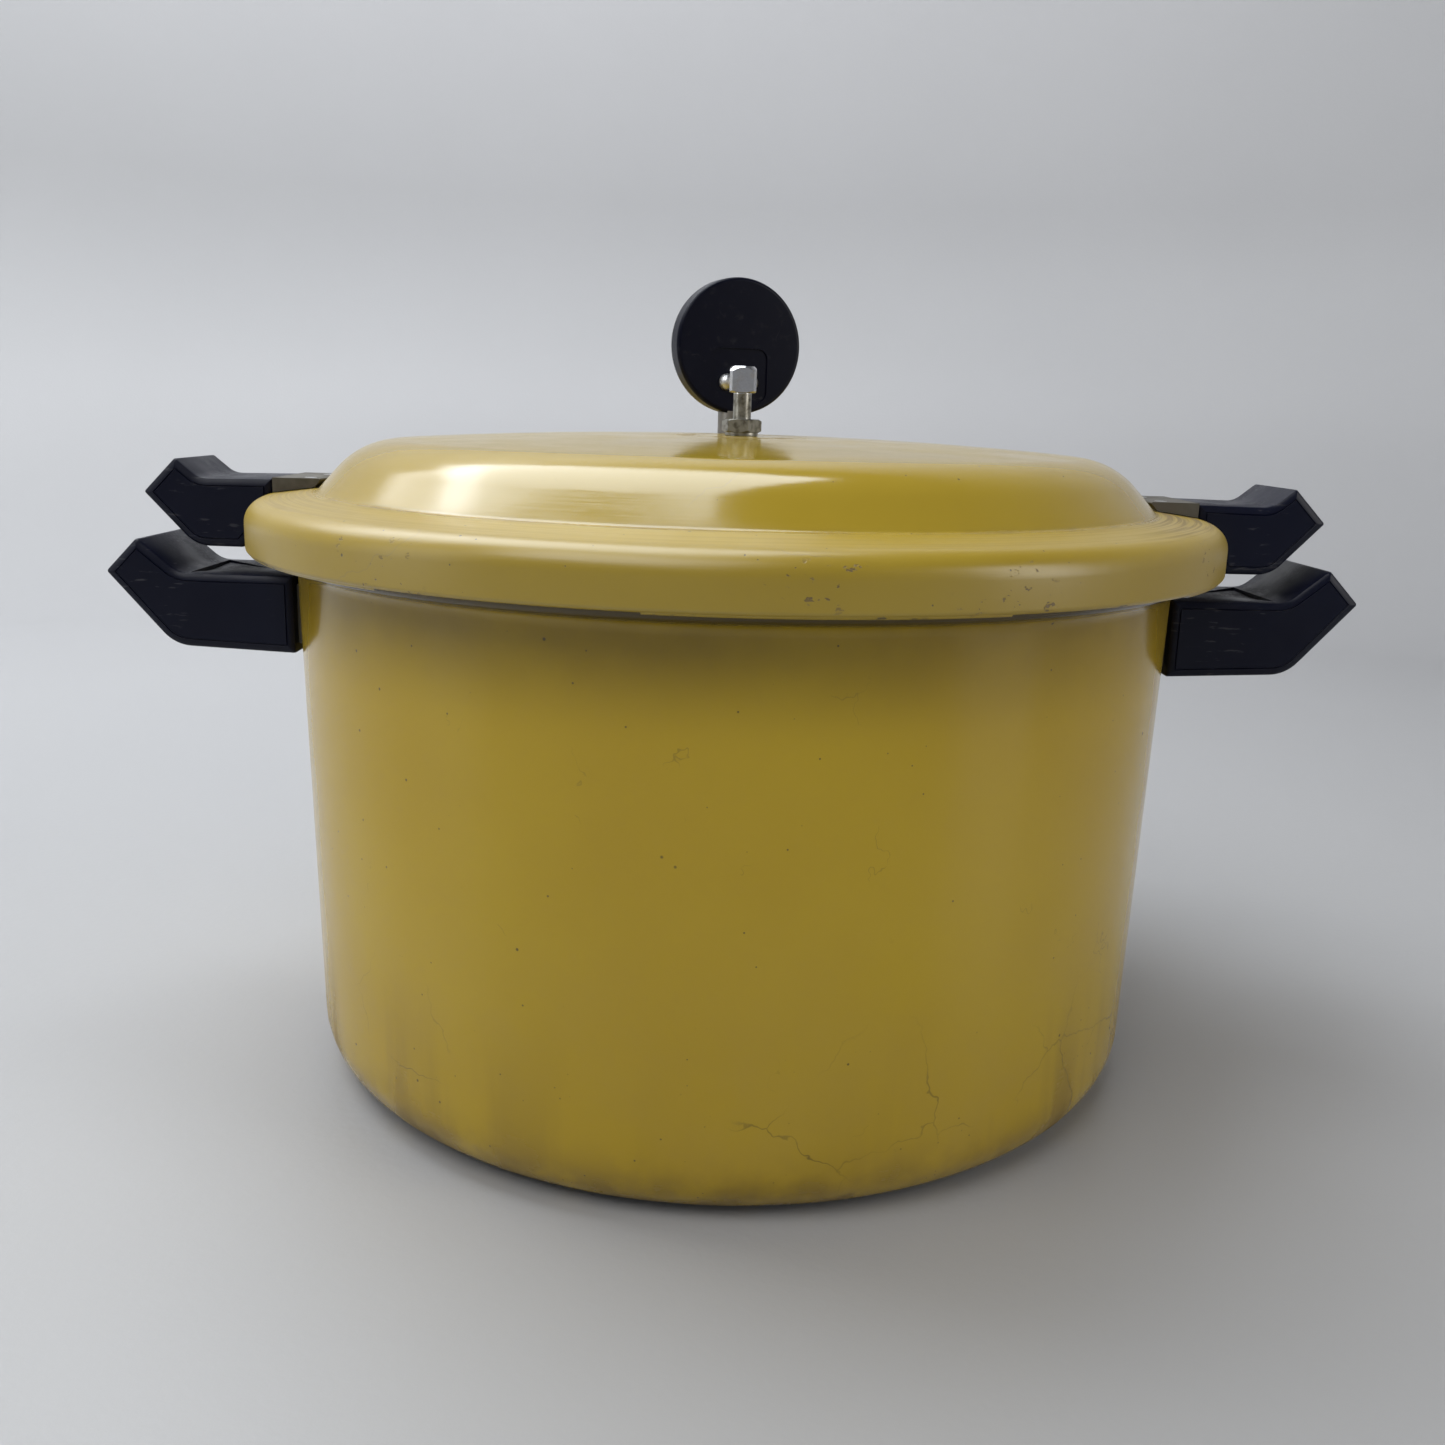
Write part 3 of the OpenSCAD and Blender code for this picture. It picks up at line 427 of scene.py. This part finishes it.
def lid_enamel():
    p, colour, rough, height = enamel_base("lid_enamel", SHADED_LID_COLOURS, 0.8)
    x, y, z = p.split()
    out = p.radius()
    angle = p.math("ARCTAN2", y, x)
    # the ledge: brown rubbed rings, strongest beside the handles
    rings = p.noise(1, 3, p.join(p.times(out, 700), p.times(angle, 2.2), 0.0))
    on_ledge = p.times(p.step(out, 0.152, 0.156), p.step(out, 0.170, 0.176, 1, 0))
    beside = p.plus(p.step(x, 0.115, 0.15), p.step(x, -0.115, -0.15, 0, 0.3))
    scuff = p.times(on_ledge, p.plus(p.times(beside, 0.8), 0.18), p.step(rings, 0.42, 0.62))
    colour = p.mix(p.times(scuff, 0.8), colour, (0.15, 0.095, 0.035))
    # darker brown in the fold at the foot of the dome
    from_fold = p.math("ABSOLUTE", p.math("SUBTRACT", out, 0.1545))
    fold = p.times(p.step(from_fold, 0.0, 0.0022, 1, 0), p.step(p.noise(45, 3), 0.35, 0.7))
    colour = p.mix(p.times(fold, 0.45), colour, SCORCH)
    # a ring of small rubbed spots round the vent pipe on the crown, partly wear and partly a painted dark
    # reflection of the pipe
    from_vent = p.radius((VENT[0] * MM, VENT[1] * MM))
    wear_and_reflection = p.times(
        p.step(p.math("ABSOLUTE", p.math("SUBTRACT", from_vent, 0.0205)), 0.0015, 0.0055, 1, 0),
        p.step(p.noise(110, 4), 0.4, 0.6),
        p.step(out, 0.06, 0.07, 1, 0),
    )
    colour = p.mix(p.times(wear_and_reflection, 0.75), colour, (0.17, 0.11, 0.04))
    # chips on the skirt and along its lower edge
    on_skirt = p.times(p.step(out, 0.172, 0.1755), p.step(z, 0.2075, 0.2045))
    chip_noise = p.noise(1, 4, p.stretched(260, 260, 420), 0.6)
    chip_zone = p.step(p.noise(14, 2), 0.56, 0.62)
    chips = p.times(on_skirt, p.step(chip_noise, 0.62, 0.65), chip_zone)
    lower = p.times(
        p.step(z, 0.1929, 0.1922),
        p.step(p.noise(1, 4, p.stretched(210, 210, 600)), 0.6, 0.64),
        p.step(p.noise(19, 2), 0.5, 0.58),
    )
    dots = p.plus(specks(p, 60, 0.04, 0.3), specks(p, 130, 0.065, 0.22), specks(p, 280, 0.1, 0.12))
    colour = p.mix(p.times(lower, 0.75), colour, GRIME)
    colour = p.mix(p.times(dots, 0.8), colour, GRIME)
    colour = p.mix(p.times(chips, 0.85), colour, (0.12, 0.075, 0.03))
    scratch = p.times(cracks(p, 12, 0.004), p.step(p.noise(15, 2), 0.55, 0.62))
    colour = p.mix(p.times(scratch, 0.35), colour, (0.2, 0.15, 0.07))
    rough = p.plus(rough, p.times(scuff, 0.22), p.times(wear_and_reflection, 0.25), p.times(chips, 0.2))
    # the skirt and ledge are handled and scoured more than the dome, so they shine less
    dull = p.times(p.step(out, 0.150, 0.158), 0.18)
    p.set(Base_Color=colour, Roughness=p.plus(rough, dull))
    hollows = p.plus(p.times(chips, -5.0), p.times(lower, -4.0), p.times(dots, -2.5))
    p.bump(p.plus(height, hollows, p.times(scuff, -1.0)), 0.00002)
    return p.material


def bare_aluminium(name, tone=0.62):
    """Spun aluminium with turning lines and dull stains."""
    p = Paint(name, Metallic=0.9)
    lines = p.noise(1, 2, p.join(p.times(p.radius(), 1500), p.times(p.split()[2], 1500), 0.0))
    stain = p.step(p.noise(22, 5), 0.35, 0.75)
    colour = p.mix(stain, (tone, tone, tone * 1.01), (tone * 0.72, tone * 0.7, tone * 0.66))
    p.set(Base_Color=colour, Roughness=p.plus(p.times(lines, 0.12), p.times(stain, 0.15), 0.3))
    p.bump(p.plus(lines, p.times(p.noise(240, 3), 1.5)), 0.00002)
    return p.material


def phenolic():
    """Blue-black moulded phenolic: satin, with dust on what faces up and pale rubs in streaks."""
    p = Paint("phenolic", Specular_IOR_Level=0.2)
    up = p.split(p.tree.nodes["Texture Coordinate"].outputs["Normal"])[2]
    cloud = p.noise(55, 5)
    fine = p.noise(900, 3)
    dust = p.times(p.step(up, 0.55, 0.95), p.step(cloud, 0.38, 0.68), p.step(fine, 0.3, 0.6))
    rub = p.step(p.noise(1, 4, p.stretched(120, 120, 700)), 0.60, 0.68)
    rub = p.times(rub, p.step(p.noise(30, 2), 0.5, 0.62))
    colour = p.mix(p.step(p.noise(25, 3), 0.3, 0.7), (0.0018, 0.0026, 0.0105), (0.0032, 0.0044, 0.0145))
    colour = p.mix(p.times(dust, 0.3), colour, (0.11, 0.105, 0.105))
    colour = p.mix(p.times(rub, 0.3), colour, (0.11, 0.11, 0.115))
    dots = specks(p, 150, 0.05, 0.06)
    colour = p.mix(p.times(dots, 0.5), colour, (0.2, 0.2, 0.2))
    rough = p.step(p.noise(80, 4), 0.3, 0.7, 0.3, 0.42)
    p.set(Base_Color=colour, Roughness=p.plus(rough, p.times(dust, 0.3)))
    p.bump(p.plus(p.times(p.noise(1400, 2), 0.4), p.noise(160, 3), p.times(dust, 0.5)), 0.00003)
    return p.material


def metal(name, colour, rough, stain=(0.1, 0.08, 0.05), stained=0.35, metallic=1.0, scale=400):
    """Worn metal: fine pitting, and stains in patches."""
    p = Paint(name, Metallic=metallic)
    patch = p.step(p.noise(scale * 0.25, 4), 0.45, 0.75)
    p.set(
        Base_Color=p.mix(p.times(patch, stained), colour, stain),
        Roughness=p.plus(p.times(p.noise(scale, 3), 0.14), p.times(patch, 0.2), rough - 0.07),
    )
    p.bump(p.noise(scale * 3, 3), 0.00002)
    return p.material


def vent_metal():
    """The vent pipe: a bright plated head on a duller stem, with tarnish in patches."""
    p = Paint("vent_plating", Metallic=1.0)
    head = p.step(p.split()[2], 0.2488, 0.2496)
    tarnish = p.step(p.noise(420, 4), 0.4, 0.7)
    dull = p.mix(tarnish, (0.34, 0.33, 0.29), (0.11, 0.10, 0.08))
    bright = p.mix(p.times(tarnish, 0.35), (0.78, 0.78, 0.79), (0.35, 0.33, 0.3))
    rough = p.plus(p.times(tarnish, 0.14), p.step(head, 0, 1, 0.34, 0.12))
    p.set(Base_Color=p.mix(head, dull, bright), Roughness=rough)
    p.bump(p.noise(1300, 3), 0.00002)
    return p.material


def rubber():
    p = Paint("rubber", Specular_IOR_Level=0.3)
    bloom = p.step(p.noise(60, 4), 0.45, 0.8)
    colour = p.mix(bloom, (0.016, 0.016, 0.016), (0.05, 0.048, 0.045))
    p.set(Base_Color=colour, Roughness=p.plus(p.times(bloom, 0.2), 0.55))
    p.bump(p.noise(900, 3), 0.00003)
    return p.material


def gloss_black():
    """The gauge's black case: smooth lacquer with faint dust and small scratches."""
    p = Paint("gauge_black", Specular_IOR_Level=0.15)
    dust = p.step(p.noise(300, 4), 0.58, 0.8)
    scratch = p.times(cracks(p, 60, 0.006), p.step(p.noise(90, 2), 0.55, 0.65))
    colour = p.mix(p.times(dust, 0.2), (0.0022, 0.0028, 0.0105), (0.05, 0.05, 0.055))
    colour = p.mix(p.times(scratch, 0.2), colour, (0.12, 0.12, 0.12))
    p.set(Base_Color=colour, Roughness=p.plus(p.times(dust, 0.15), 0.3))
    p.bump(p.plus(p.noise(500, 2), p.times(scratch, -1.0)), 0.00001)
    return p.material


def dial_paint():
    p = Paint("dial_paint", Specular_IOR_Level=0.35)
    age = p.step(p.noise(120, 4), 0.4, 0.8)
    p.set(Base_Color=p.mix(age, (0.82, 0.81, 0.75), (0.74, 0.71, 0.6)), Roughness=0.5)
    p.bump(p.noise(1500, 2), 0.000005)
    return p.material


def ink(name, colour):
    p = Paint(name, Specular_IOR_Level=0.3)
    fade = p.noise(700, 3)
    p.set(Base_Color=p.mix(p.times(fade, 0.25), colour, (0.2, 0.2, 0.2)), Roughness=0.55)
    return p.material


def clear_glass():
    p = Paint("lens_glass", Transmission_Weight=1.0, IOR=1.49, Base_Color=(0.97, 0.98, 0.98))
    p.set(Roughness=p.step(p.noise(200, 4), 0.5, 0.85, 0.02, 0.12))
    return p.material


MATERIALS = {
    "enamel": pot_enamel(),
    "phenolic": phenolic(),
    "bracket_metal": metal("bracket_metal", (0.13, 0.12, 0.10), 0.55, (0.06, 0.05, 0.035), 0.5, 0.7, 300),
    "rivet_metal": metal("rivet_metal", (0.72, 0.72, 0.72), 0.3, (0.35, 0.33, 0.3), 0.3, 1.0, 500),
    "screw_steel": metal("screw_steel", (0.5, 0.5, 0.49), 0.35, (0.2, 0.15, 0.1), 0.4, 1.0, 500),
    "rack_aluminium": bare_aluminium("rack_aluminium", 0.66),
    "rubber": rubber(),
    "vent_plating": vent_metal(),
    "lid_nut_brass": metal("lid_nut_brass", (0.55, 0.42, 0.2), 0.35, (0.2, 0.14, 0.06), 0.4, 1.0, 400),
    "socket_brass": metal("socket_brass", (0.26, 0.25, 0.24), 0.42, (0.1, 0.09, 0.07), 0.5, 0.9, 400),
    "case_enamel": gloss_black(),
    "tube_bronze": metal("tube_bronze", (0.6, 0.4, 0.2), 0.32, (0.3, 0.17, 0.08), 0.3, 1.0, 700),
    "movement_brass": metal("movement_brass", (0.66, 0.5, 0.22), 0.28, (0.35, 0.24, 0.1), 0.3, 1.0, 700),
    "spring_steel": metal("spring_steel", (0.4, 0.43, 0.5), 0.28, (0.2, 0.2, 0.3), 0.2, 1.0, 900),
    "dial_face": dial_paint(),
    "pointer_black": ink("pointer_black", (0.01, 0.01, 0.01)),
    "lens": clear_glass(),
}
LID_ENAMEL = lid_enamel()
INSIDE = bare_aluminium("pot_inside_metal")
INK = ink("dial_ink", (0.012, 0.012, 0.012))


def dressed(piece, body, slot, *materials):
    for material in materials or (MATERIALS[slot],):
        piece.data.materials.append(material)
    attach(piece, body)
    return piece


# ---------- pot and lid ----------

def wall_r(z):
    return WALL_LOW_R + (WALL_TOP_R - WALL_LOW_R) * (z - CORNER_R) / (STEP_Z - CORNER_R)


def add_lugs(bm, r0, r1, z0, z1, width, radius):
    corners = [(r0, z0, 0), (r1, z0, radius), (r1, z1, radius), (r0, z1, 0)]
    for i in range(LUGS):
        start = LUG_PHASE + i * 360 / LUGS - width / 2
        add_lathe(bm, rounded(corners, 4), start, width)


def two_metals(piece, inside):
    """Gives the piece's second material to the faces whose centre and normal pass the test inside."""
    for face in piece.data.polygons:
        face.material_index = 1 if inside(face.center / MM, face.normal) else 0


def make_pot():
    step = wall_r(STEP_Z)
    rise = (RIM_R - step) * math.tan(math.radians(STEP_SLOPE)) / 2
    outside = [(wall_r(0), 0, CORNER_R), (step, STEP_Z - rise, STEP_CURVE_R),
               (RIM_R, STEP_Z + rise, STEP_CURVE_R), (RIM_R, RIM_Z, 1.5)]
    inner = moved_left(outside, WALL_T)
    corners = [(0, 0, 0)] + outside + [(RIM_R - WALL_T, RIM_Z, 1.5), inner[2], inner[1]]
    corners += [(wall_r(FLOOR_T) - WALL_T, FLOOR_T, 15), (0, FLOOR_T, 0)]
    bm = bmesh.new()
    add_lathe(bm, filled(rounded(corners, 12), 12))
    pot = finished("pot", bm)
    bm = bmesh.new()
    add_lugs(bm, *POT_LUG)
    pot = mesh_boolean(pot, finished("pot_lugs", bm), "UNION")
    dressed(pot, "pot", "enamel", MATERIALS["enamel"], INSIDE)

    def inside(centre, normal):
        out = math.hypot(centre.x, centre.y)
        inward = normal.x * centre.x + normal.y * centre.y < 0
        hollow = out < wall_r(CORNER_R) - WALL_T + 0.3 and normal.z > 0.1
        within = out < RIM_R - 1 and centre.z > FLOOR_T - 0.5
        return centre.z > RIM_Z - 1 or within and (inward or hollow)

    two_metals(pot, inside)
    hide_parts("pot_body")
    return pot


def crown(r):
    return CROWN_Z - r * r / (2 * CROWN_CURVE)


def make_lid():
    outside = [(SKIRT_R, SKIRT_Z, 1.6), (SKIRT_R, LEDGE_Z, 8), (*FOOT, 3),
               (SHOULDER_R, crown(SHOULDER_R), SHOULDER_CURVE_R)]
    outside += [(r, crown(r), 0) for r in (118, 112, 101, 90, 75, 60, 45, 30, 15, 0)]
    inner = moved_left(outside, LID_T)
    corners = [(SKIRT_R - LID_T, SKIRT_Z, 0.8)] + outside + inner[:0:-1]
    bm = bmesh.new()
    add_lathe(bm, filled(rounded(corners, 14), 12))
    lid = finished("lid_shell", bm)
    bm = bmesh.new()
    add_lugs(bm, *LID_LUG)
    lid = mesh_boolean(lid, finished("lid_lugs", bm), "UNION")
    bm = bmesh.new()
    for radius, at in ((PIPE_HOLE_R, VENT), (PIPE_HOLE_R, GAUGE[:2]), (PLUG_HOLE_R, (0, PLUG_Y))):
        add_rod(bm, radius, 200, 260, at)
    lid = mesh_boolean(lid, finished("lid_holes", bm), "DIFFERENCE")
    dressed(lid, "lid", "enamel", LID_ENAMEL, INSIDE)

    def inside(centre, normal):
        out = math.hypot(centre.x, centre.y)
        inward = normal.x * centre.x + normal.y * centre.y < 0
        return normal.z < -0.2 and out < SKIRT_R - 2 or inward and out > FOOT[0] - 25

    two_metals(lid, inside)
    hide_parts("lid")
    return lid


make_pot()
make_lid()

# ---------- handles ----------

# How a handle's side is shaped: (distance in from its widest, inset of the outline)
SIDE_ROWS = [(0, 3.5), (0.0, 3.2), (0.4, 3.0), (0.1, 2.7), (0.45, 1.2), (1.1, 0.35), (2.0, 0)]


def handle_blank(name, corners, width):
    """A bar with the outline given, rounded along its sides, with a fine groove inside each edge."""
    rows = [(width / 2 - back, t) for back, t in SIDE_ROWS]
    rows += [(-y, t) for y, t in reversed(rows)]
    bm = bmesh.new()
    loops = []
    for y, t in rows:
        loops.append([bm.verts.new((p.x, y, p.y)) for p in rounded(inset(corners, t), 8)])
    for one, two in zip(loops, loops[1:]):
        for k in range(len(one)):
            m = (k + 1) % len(one)
            bm.faces.new([one[k], one[m], two[m], two[k]])
    bm.faces.new(loops[0])
    bm.faces.new(loops[-1])
    return finished(name, bm, 25)


def finish_handle(piece, body, node):
    """Puts the right-hand handle in place, or mirrors it to the left."""
    if node.endswith("left"):
        piece.data.transform(Matrix.Scale(-1, 4, (1, 0, 0)))
        piece.data.flip_normals()
    piece.data.set_sharp_from_angle(angle=math.radians(25))
    dressed(piece, body, "phenolic")
    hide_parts(node)


def make_body_handle(side):
    piece = handle_blank("pot_handle_" + side, BODY_HANDLE, BODY_HANDLE_W)
    # the arrow on the top, with its point towards the pot: two planes that fall to its middle line
    bm = bmesh.new()
    tip, near, far = (180, 0), (202, -20.5), (202, 20.5)
    top = [bm.verts.new((x, y, 181)) for x, y in (tip, near, far)]
    low = [bm.verts.new((x, y, z)) for (x, y), z in ((tip, 179.02), (near, 178.2), (far, 178.2))]
    mid = bm.verts.new((202, 0, 177.7))
    faces = [top, [low[0], mid, low[1]], [low[0], low[2], mid], [top[0], low[0], low[1], top[1]],
             [top[0], top[2], low[2], low[0]], [top[1], low[1], mid, low[2], top[2]]]
    for face in faces:
        bm.faces.new(face)
    piece = mesh_boolean(piece, finished("arrow", bm), "DIFFERENCE")
    bm = bmesh.new()
    add_box(bm, *BODY_SLOT)
    piece = mesh_boolean(piece, finished("slot", bm), "DIFFERENCE")
    bm = bmesh.new()
    add_rod(bm, SCREW_BORE_R, 140, 156.6, (SCREW_X, 0))
    piece = mesh_boolean(piece, finished("bore", bm), "DIFFERENCE")
    finish_handle(piece, "pot", "body_handle_" + side)


def make_lid_handle(side):
    piece = handle_blank("lid_grip_" + side, LID_HANDLE, LID_HANDLE_W)
    bm = bmesh.new()
    # room for the lid, a little clear of its skirt and ledge
    top = FOOT[1] + 0.4
    room = [(0, 180, 0), (SKIRT_R + 0.5, 180, 0), (SKIRT_R + 0.5, LEDGE_Z + 0.4, 8.4)]
    room += [(FOOT[0], top, 0), (0, top, 0)]
    add_lathe(bm, rounded(room, 12))
    piece = mesh_boolean(piece, finished("room", bm), "DIFFERENCE")
    bm = bmesh.new()
    add_box(bm, *LID_SLOT)
    piece = mesh_boolean(piece, finished("slot", bm), "DIFFERENCE")
    bm = bmesh.new()
    add_rod(bm, SCREW_BORE_R, 180, 201, (SCREW_X, 0))
    piece = mesh_boolean(piece, finished("bore", bm), "DIFFERENCE")
    finish_handle(piece, "lid", "lid_handle_" + side)


for side in ("left", "right"):
    make_body_handle(side)
    make_lid_handle(side)

# ---------- gauge dial ----------

TO_GAUGE = (Matrix.Scale(MM, 4) @ Matrix.Translation(GAUGE)
            @ Matrix.Rotation(GAUGE_YAW + math.pi, 4, "Z") @ Matrix.Rotation(math.pi / 2, 4, "X"))


def add_mark(bm, angle, r0, r1, width):
    """A radial bar of ink on the dial."""
    turn = Matrix.Rotation(math.radians(angle), 4, "Z")
    start = len(bm.verts)
    add_box(bm, (r0, -width / 2, DIAL_FRONT), (r1, width / 2, DIAL_FRONT + INK_T))
    bm.verts.ensure_lookup_table()
    for vert in bm.verts[start:]:
        vert.co = turn @ vert.co


def make_dial_marks():
    bm = bmesh.new()
    for value in range(FULL_SCALE + 1):
        angle = ZERO_DEG - SWEEP_DEG * value / FULL_SCALE
        if value % 5 == 0:
            add_mark(bm, angle, 17.4, MARK_R, 0.6)
        else:
            add_mark(bm, angle, 19.2, MARK_R, 0.3)
    top = DIAL_FRONT + INK_T
    ring = [(MARK_R, DIAL_FRONT), (RING_R, DIAL_FRONT), (RING_R, top), (MARK_R, top)]
    add_lathe(bm, [Vector(p) for p in ring], ZERO_DEG - SWEEP_DEG, SWEEP_DEG - 0.01, 128)
    marks = finished("dial_marks", bm)
    for value in range(0, FULL_SCALE + 1, 5):
        angle = math.radians(ZERO_DEG - SWEEP_DEG * value / FULL_SCALE)
        words = bpy.data.curves.new("number", "FONT")
        words.body = str(value)
        words.size = NUMBER_SIZE * MM
        words.align_x = words.align_y = "CENTER"
        words.extrude = INK_T / 2 * MM
        holder = bpy.data.objects.new("number", words)
        bpy.context.scene.collection.objects.link(holder)
        bpy.context.view_layer.update()
        depsgraph = bpy.context.evaluated_depsgraph_get()
        mesh = bpy.data.meshes.new_from_object(holder.evaluated_get(depsgraph))
        at = Vector((NUMBER_R * math.cos(angle), NUMBER_R * math.sin(angle), DIAL_FRONT + INK_T / 2))
        mesh.transform(Matrix.Translation(at * MM))
        bm = bmesh.new()
        bm.from_mesh(marks.data)
        bm.from_mesh(mesh)
        bmesh.ops.remove_doubles(bm, verts=bm.verts, dist=1e-7)
        bm.to_mesh(marks.data)
        bm.free()
        bpy.data.objects.remove(holder)
    marks.data.transform(TO_GAUGE @ Matrix.Scale(1 / MM, 4))
    marks.data.materials.clear()
    dressed(marks, "lid", "dial_face", INK)


make_dial_marks()

# ---------- nodes that keep their shape ----------

replaced = {"pot_body", "lid", "body_handle_left", "body_handle_right",
            "lid_handle_left", "lid_handle_right"}
for row in frame["record"]["subparts"]:
    if row["node"] in replaced:
        continue
    node = NODES[row["node"]]
    node.data.materials.clear()
    node.data.materials.append(MATERIALS[row["material_slot"]])


# ---------- studio ----------

def add_studio():
    """A pale floor that curves up into a round backdrop."""
    flat, curve, top = 1.15, 0.55, 2.6
    fives = [math.radians(5 * k) for k in range(72)]
    profile = [(0, 0), (flat, 0)]
    profile += [(flat + curve * math.sin(a), curve - curve * math.cos(a)) for a in fives[1:19]]
    profile.append((flat + curve, top))
    bm = bmesh.new()
    rows = []
    for r, z in profile:
        around = fives if r else fives[:1]
        rows.append([bm.verts.new((r * math.cos(a), r * math.sin(a), z)) for a in around])
    for one, two in zip(rows, rows[1:]):
        for k in range(72):
            m = (k + 1) % 72
            corners = [one[k % len(one)], one[m % len(one)], two[m], two[k]]
            bm.faces.new(list(dict.fromkeys(corners)))
    floor = finished("floor", bm, 60, 1.0)
    p = Paint("floor_paint", Specular_IOR_Level=0.3)
    _, y, z = p.split()
    # the room behind the camera is dim, which gives the enamel its dark middle
    dim = p.times(p.step(y, -0.25, -0.95), p.step(z, 0.02, 0.3))
    pale = p.mix(p.noise(3, 3), (0.40, 0.398, 0.40), (0.43, 0.427, 0.428))
    p.set(Base_Color=p.mix(dim, pale, (0.22, 0.22, 0.225)), Roughness=0.4)
    p.bump(p.noise(300, 3), 0.0001)
    floor.data.materials.append(p.material)


def add_light(name, at, towards, size, power, colour):
    lamp = bpy.data.lights.new(name, "AREA")
    lamp.shape = "RECTANGLE"
    lamp.size, lamp.size_y = size
    lamp.energy = power
    lamp.color = colour
    holder = bpy.data.objects.new(name, lamp)
    holder.location = at
    holder.rotation_euler = (Vector(towards) - Vector(at)).to_track_quat("-Z", "Y").to_euler()
    bpy.context.scene.collection.objects.link(holder)


def add_camera():
    camera = bpy.data.objects.new("camera", bpy.data.cameras.new("camera"))
    camera.data.sensor_width = 36
    camera.data.lens = CAMERA_LENS
    back = Matrix.Translation((0, -CAMERA_BACK * MM, CAMERA_UP * MM))
    place = Matrix.Rotation(-CAMERA_SIDE, 4, "Z") @ back
    look = (Matrix.Rotation(-CAMERA_YAW, 4, "Z") @ Matrix.Rotation(math.pi / 2 - CAMERA_PITCH, 4, "X")
            @ Matrix.Rotation(CAMERA_ROLL, 4, "Z"))
    camera.matrix_world = place @ look
    bpy.context.scene.collection.objects.link(camera)
    bpy.context.scene.camera = camera


add_studio()
add_light("ceiling_window", (-0.57, 0.34, 1.45), (-0.53, 0.32, 0.1), (0.92, 1.48), 22, (0.9, 0.95, 1.0))
add_light("left_wall", (-1.47, 0.62, 1.25), (-0.25, 0, 0.2), (0.9, 1.0), 9, (0.93, 0.96, 1.0))
add_light("front_window", (-0.6, -0.9, 1.4), (0, 0, 0.12), (1.2, 0.9), 11.6, (0.97, 0.98, 1.0))
add_light("left_fill", (-1.2, -0.45, 0.5), (0, 0, 0.12), (0.4, 0.8), 1.6, (0.95, 0.98, 1.0))
add_light("right_fill", (1.25, -0.6, 0.6), (0, 0, 0.12), (0.55, 0.9), 5.0, (1.0, 0.98, 0.94))
add_light("wall_wash", (-0.5, 0.9, 1.9), (-0.4, 1.7, 1.6), (1.4, 0.4), 25, (0.9, 0.92, 0.97))
world = bpy.data.worlds.new("studio_air")
world.use_nodes = True
world.node_tree.nodes["Background"].inputs[0].default_value = (0.9, 0.94, 1.0, 1)
world.node_tree.nodes["Background"].inputs[1].default_value = 0.12
bpy.context.scene.world = world
bpy.context.scene.view_settings.view_transform = "Standard"
add_camera()
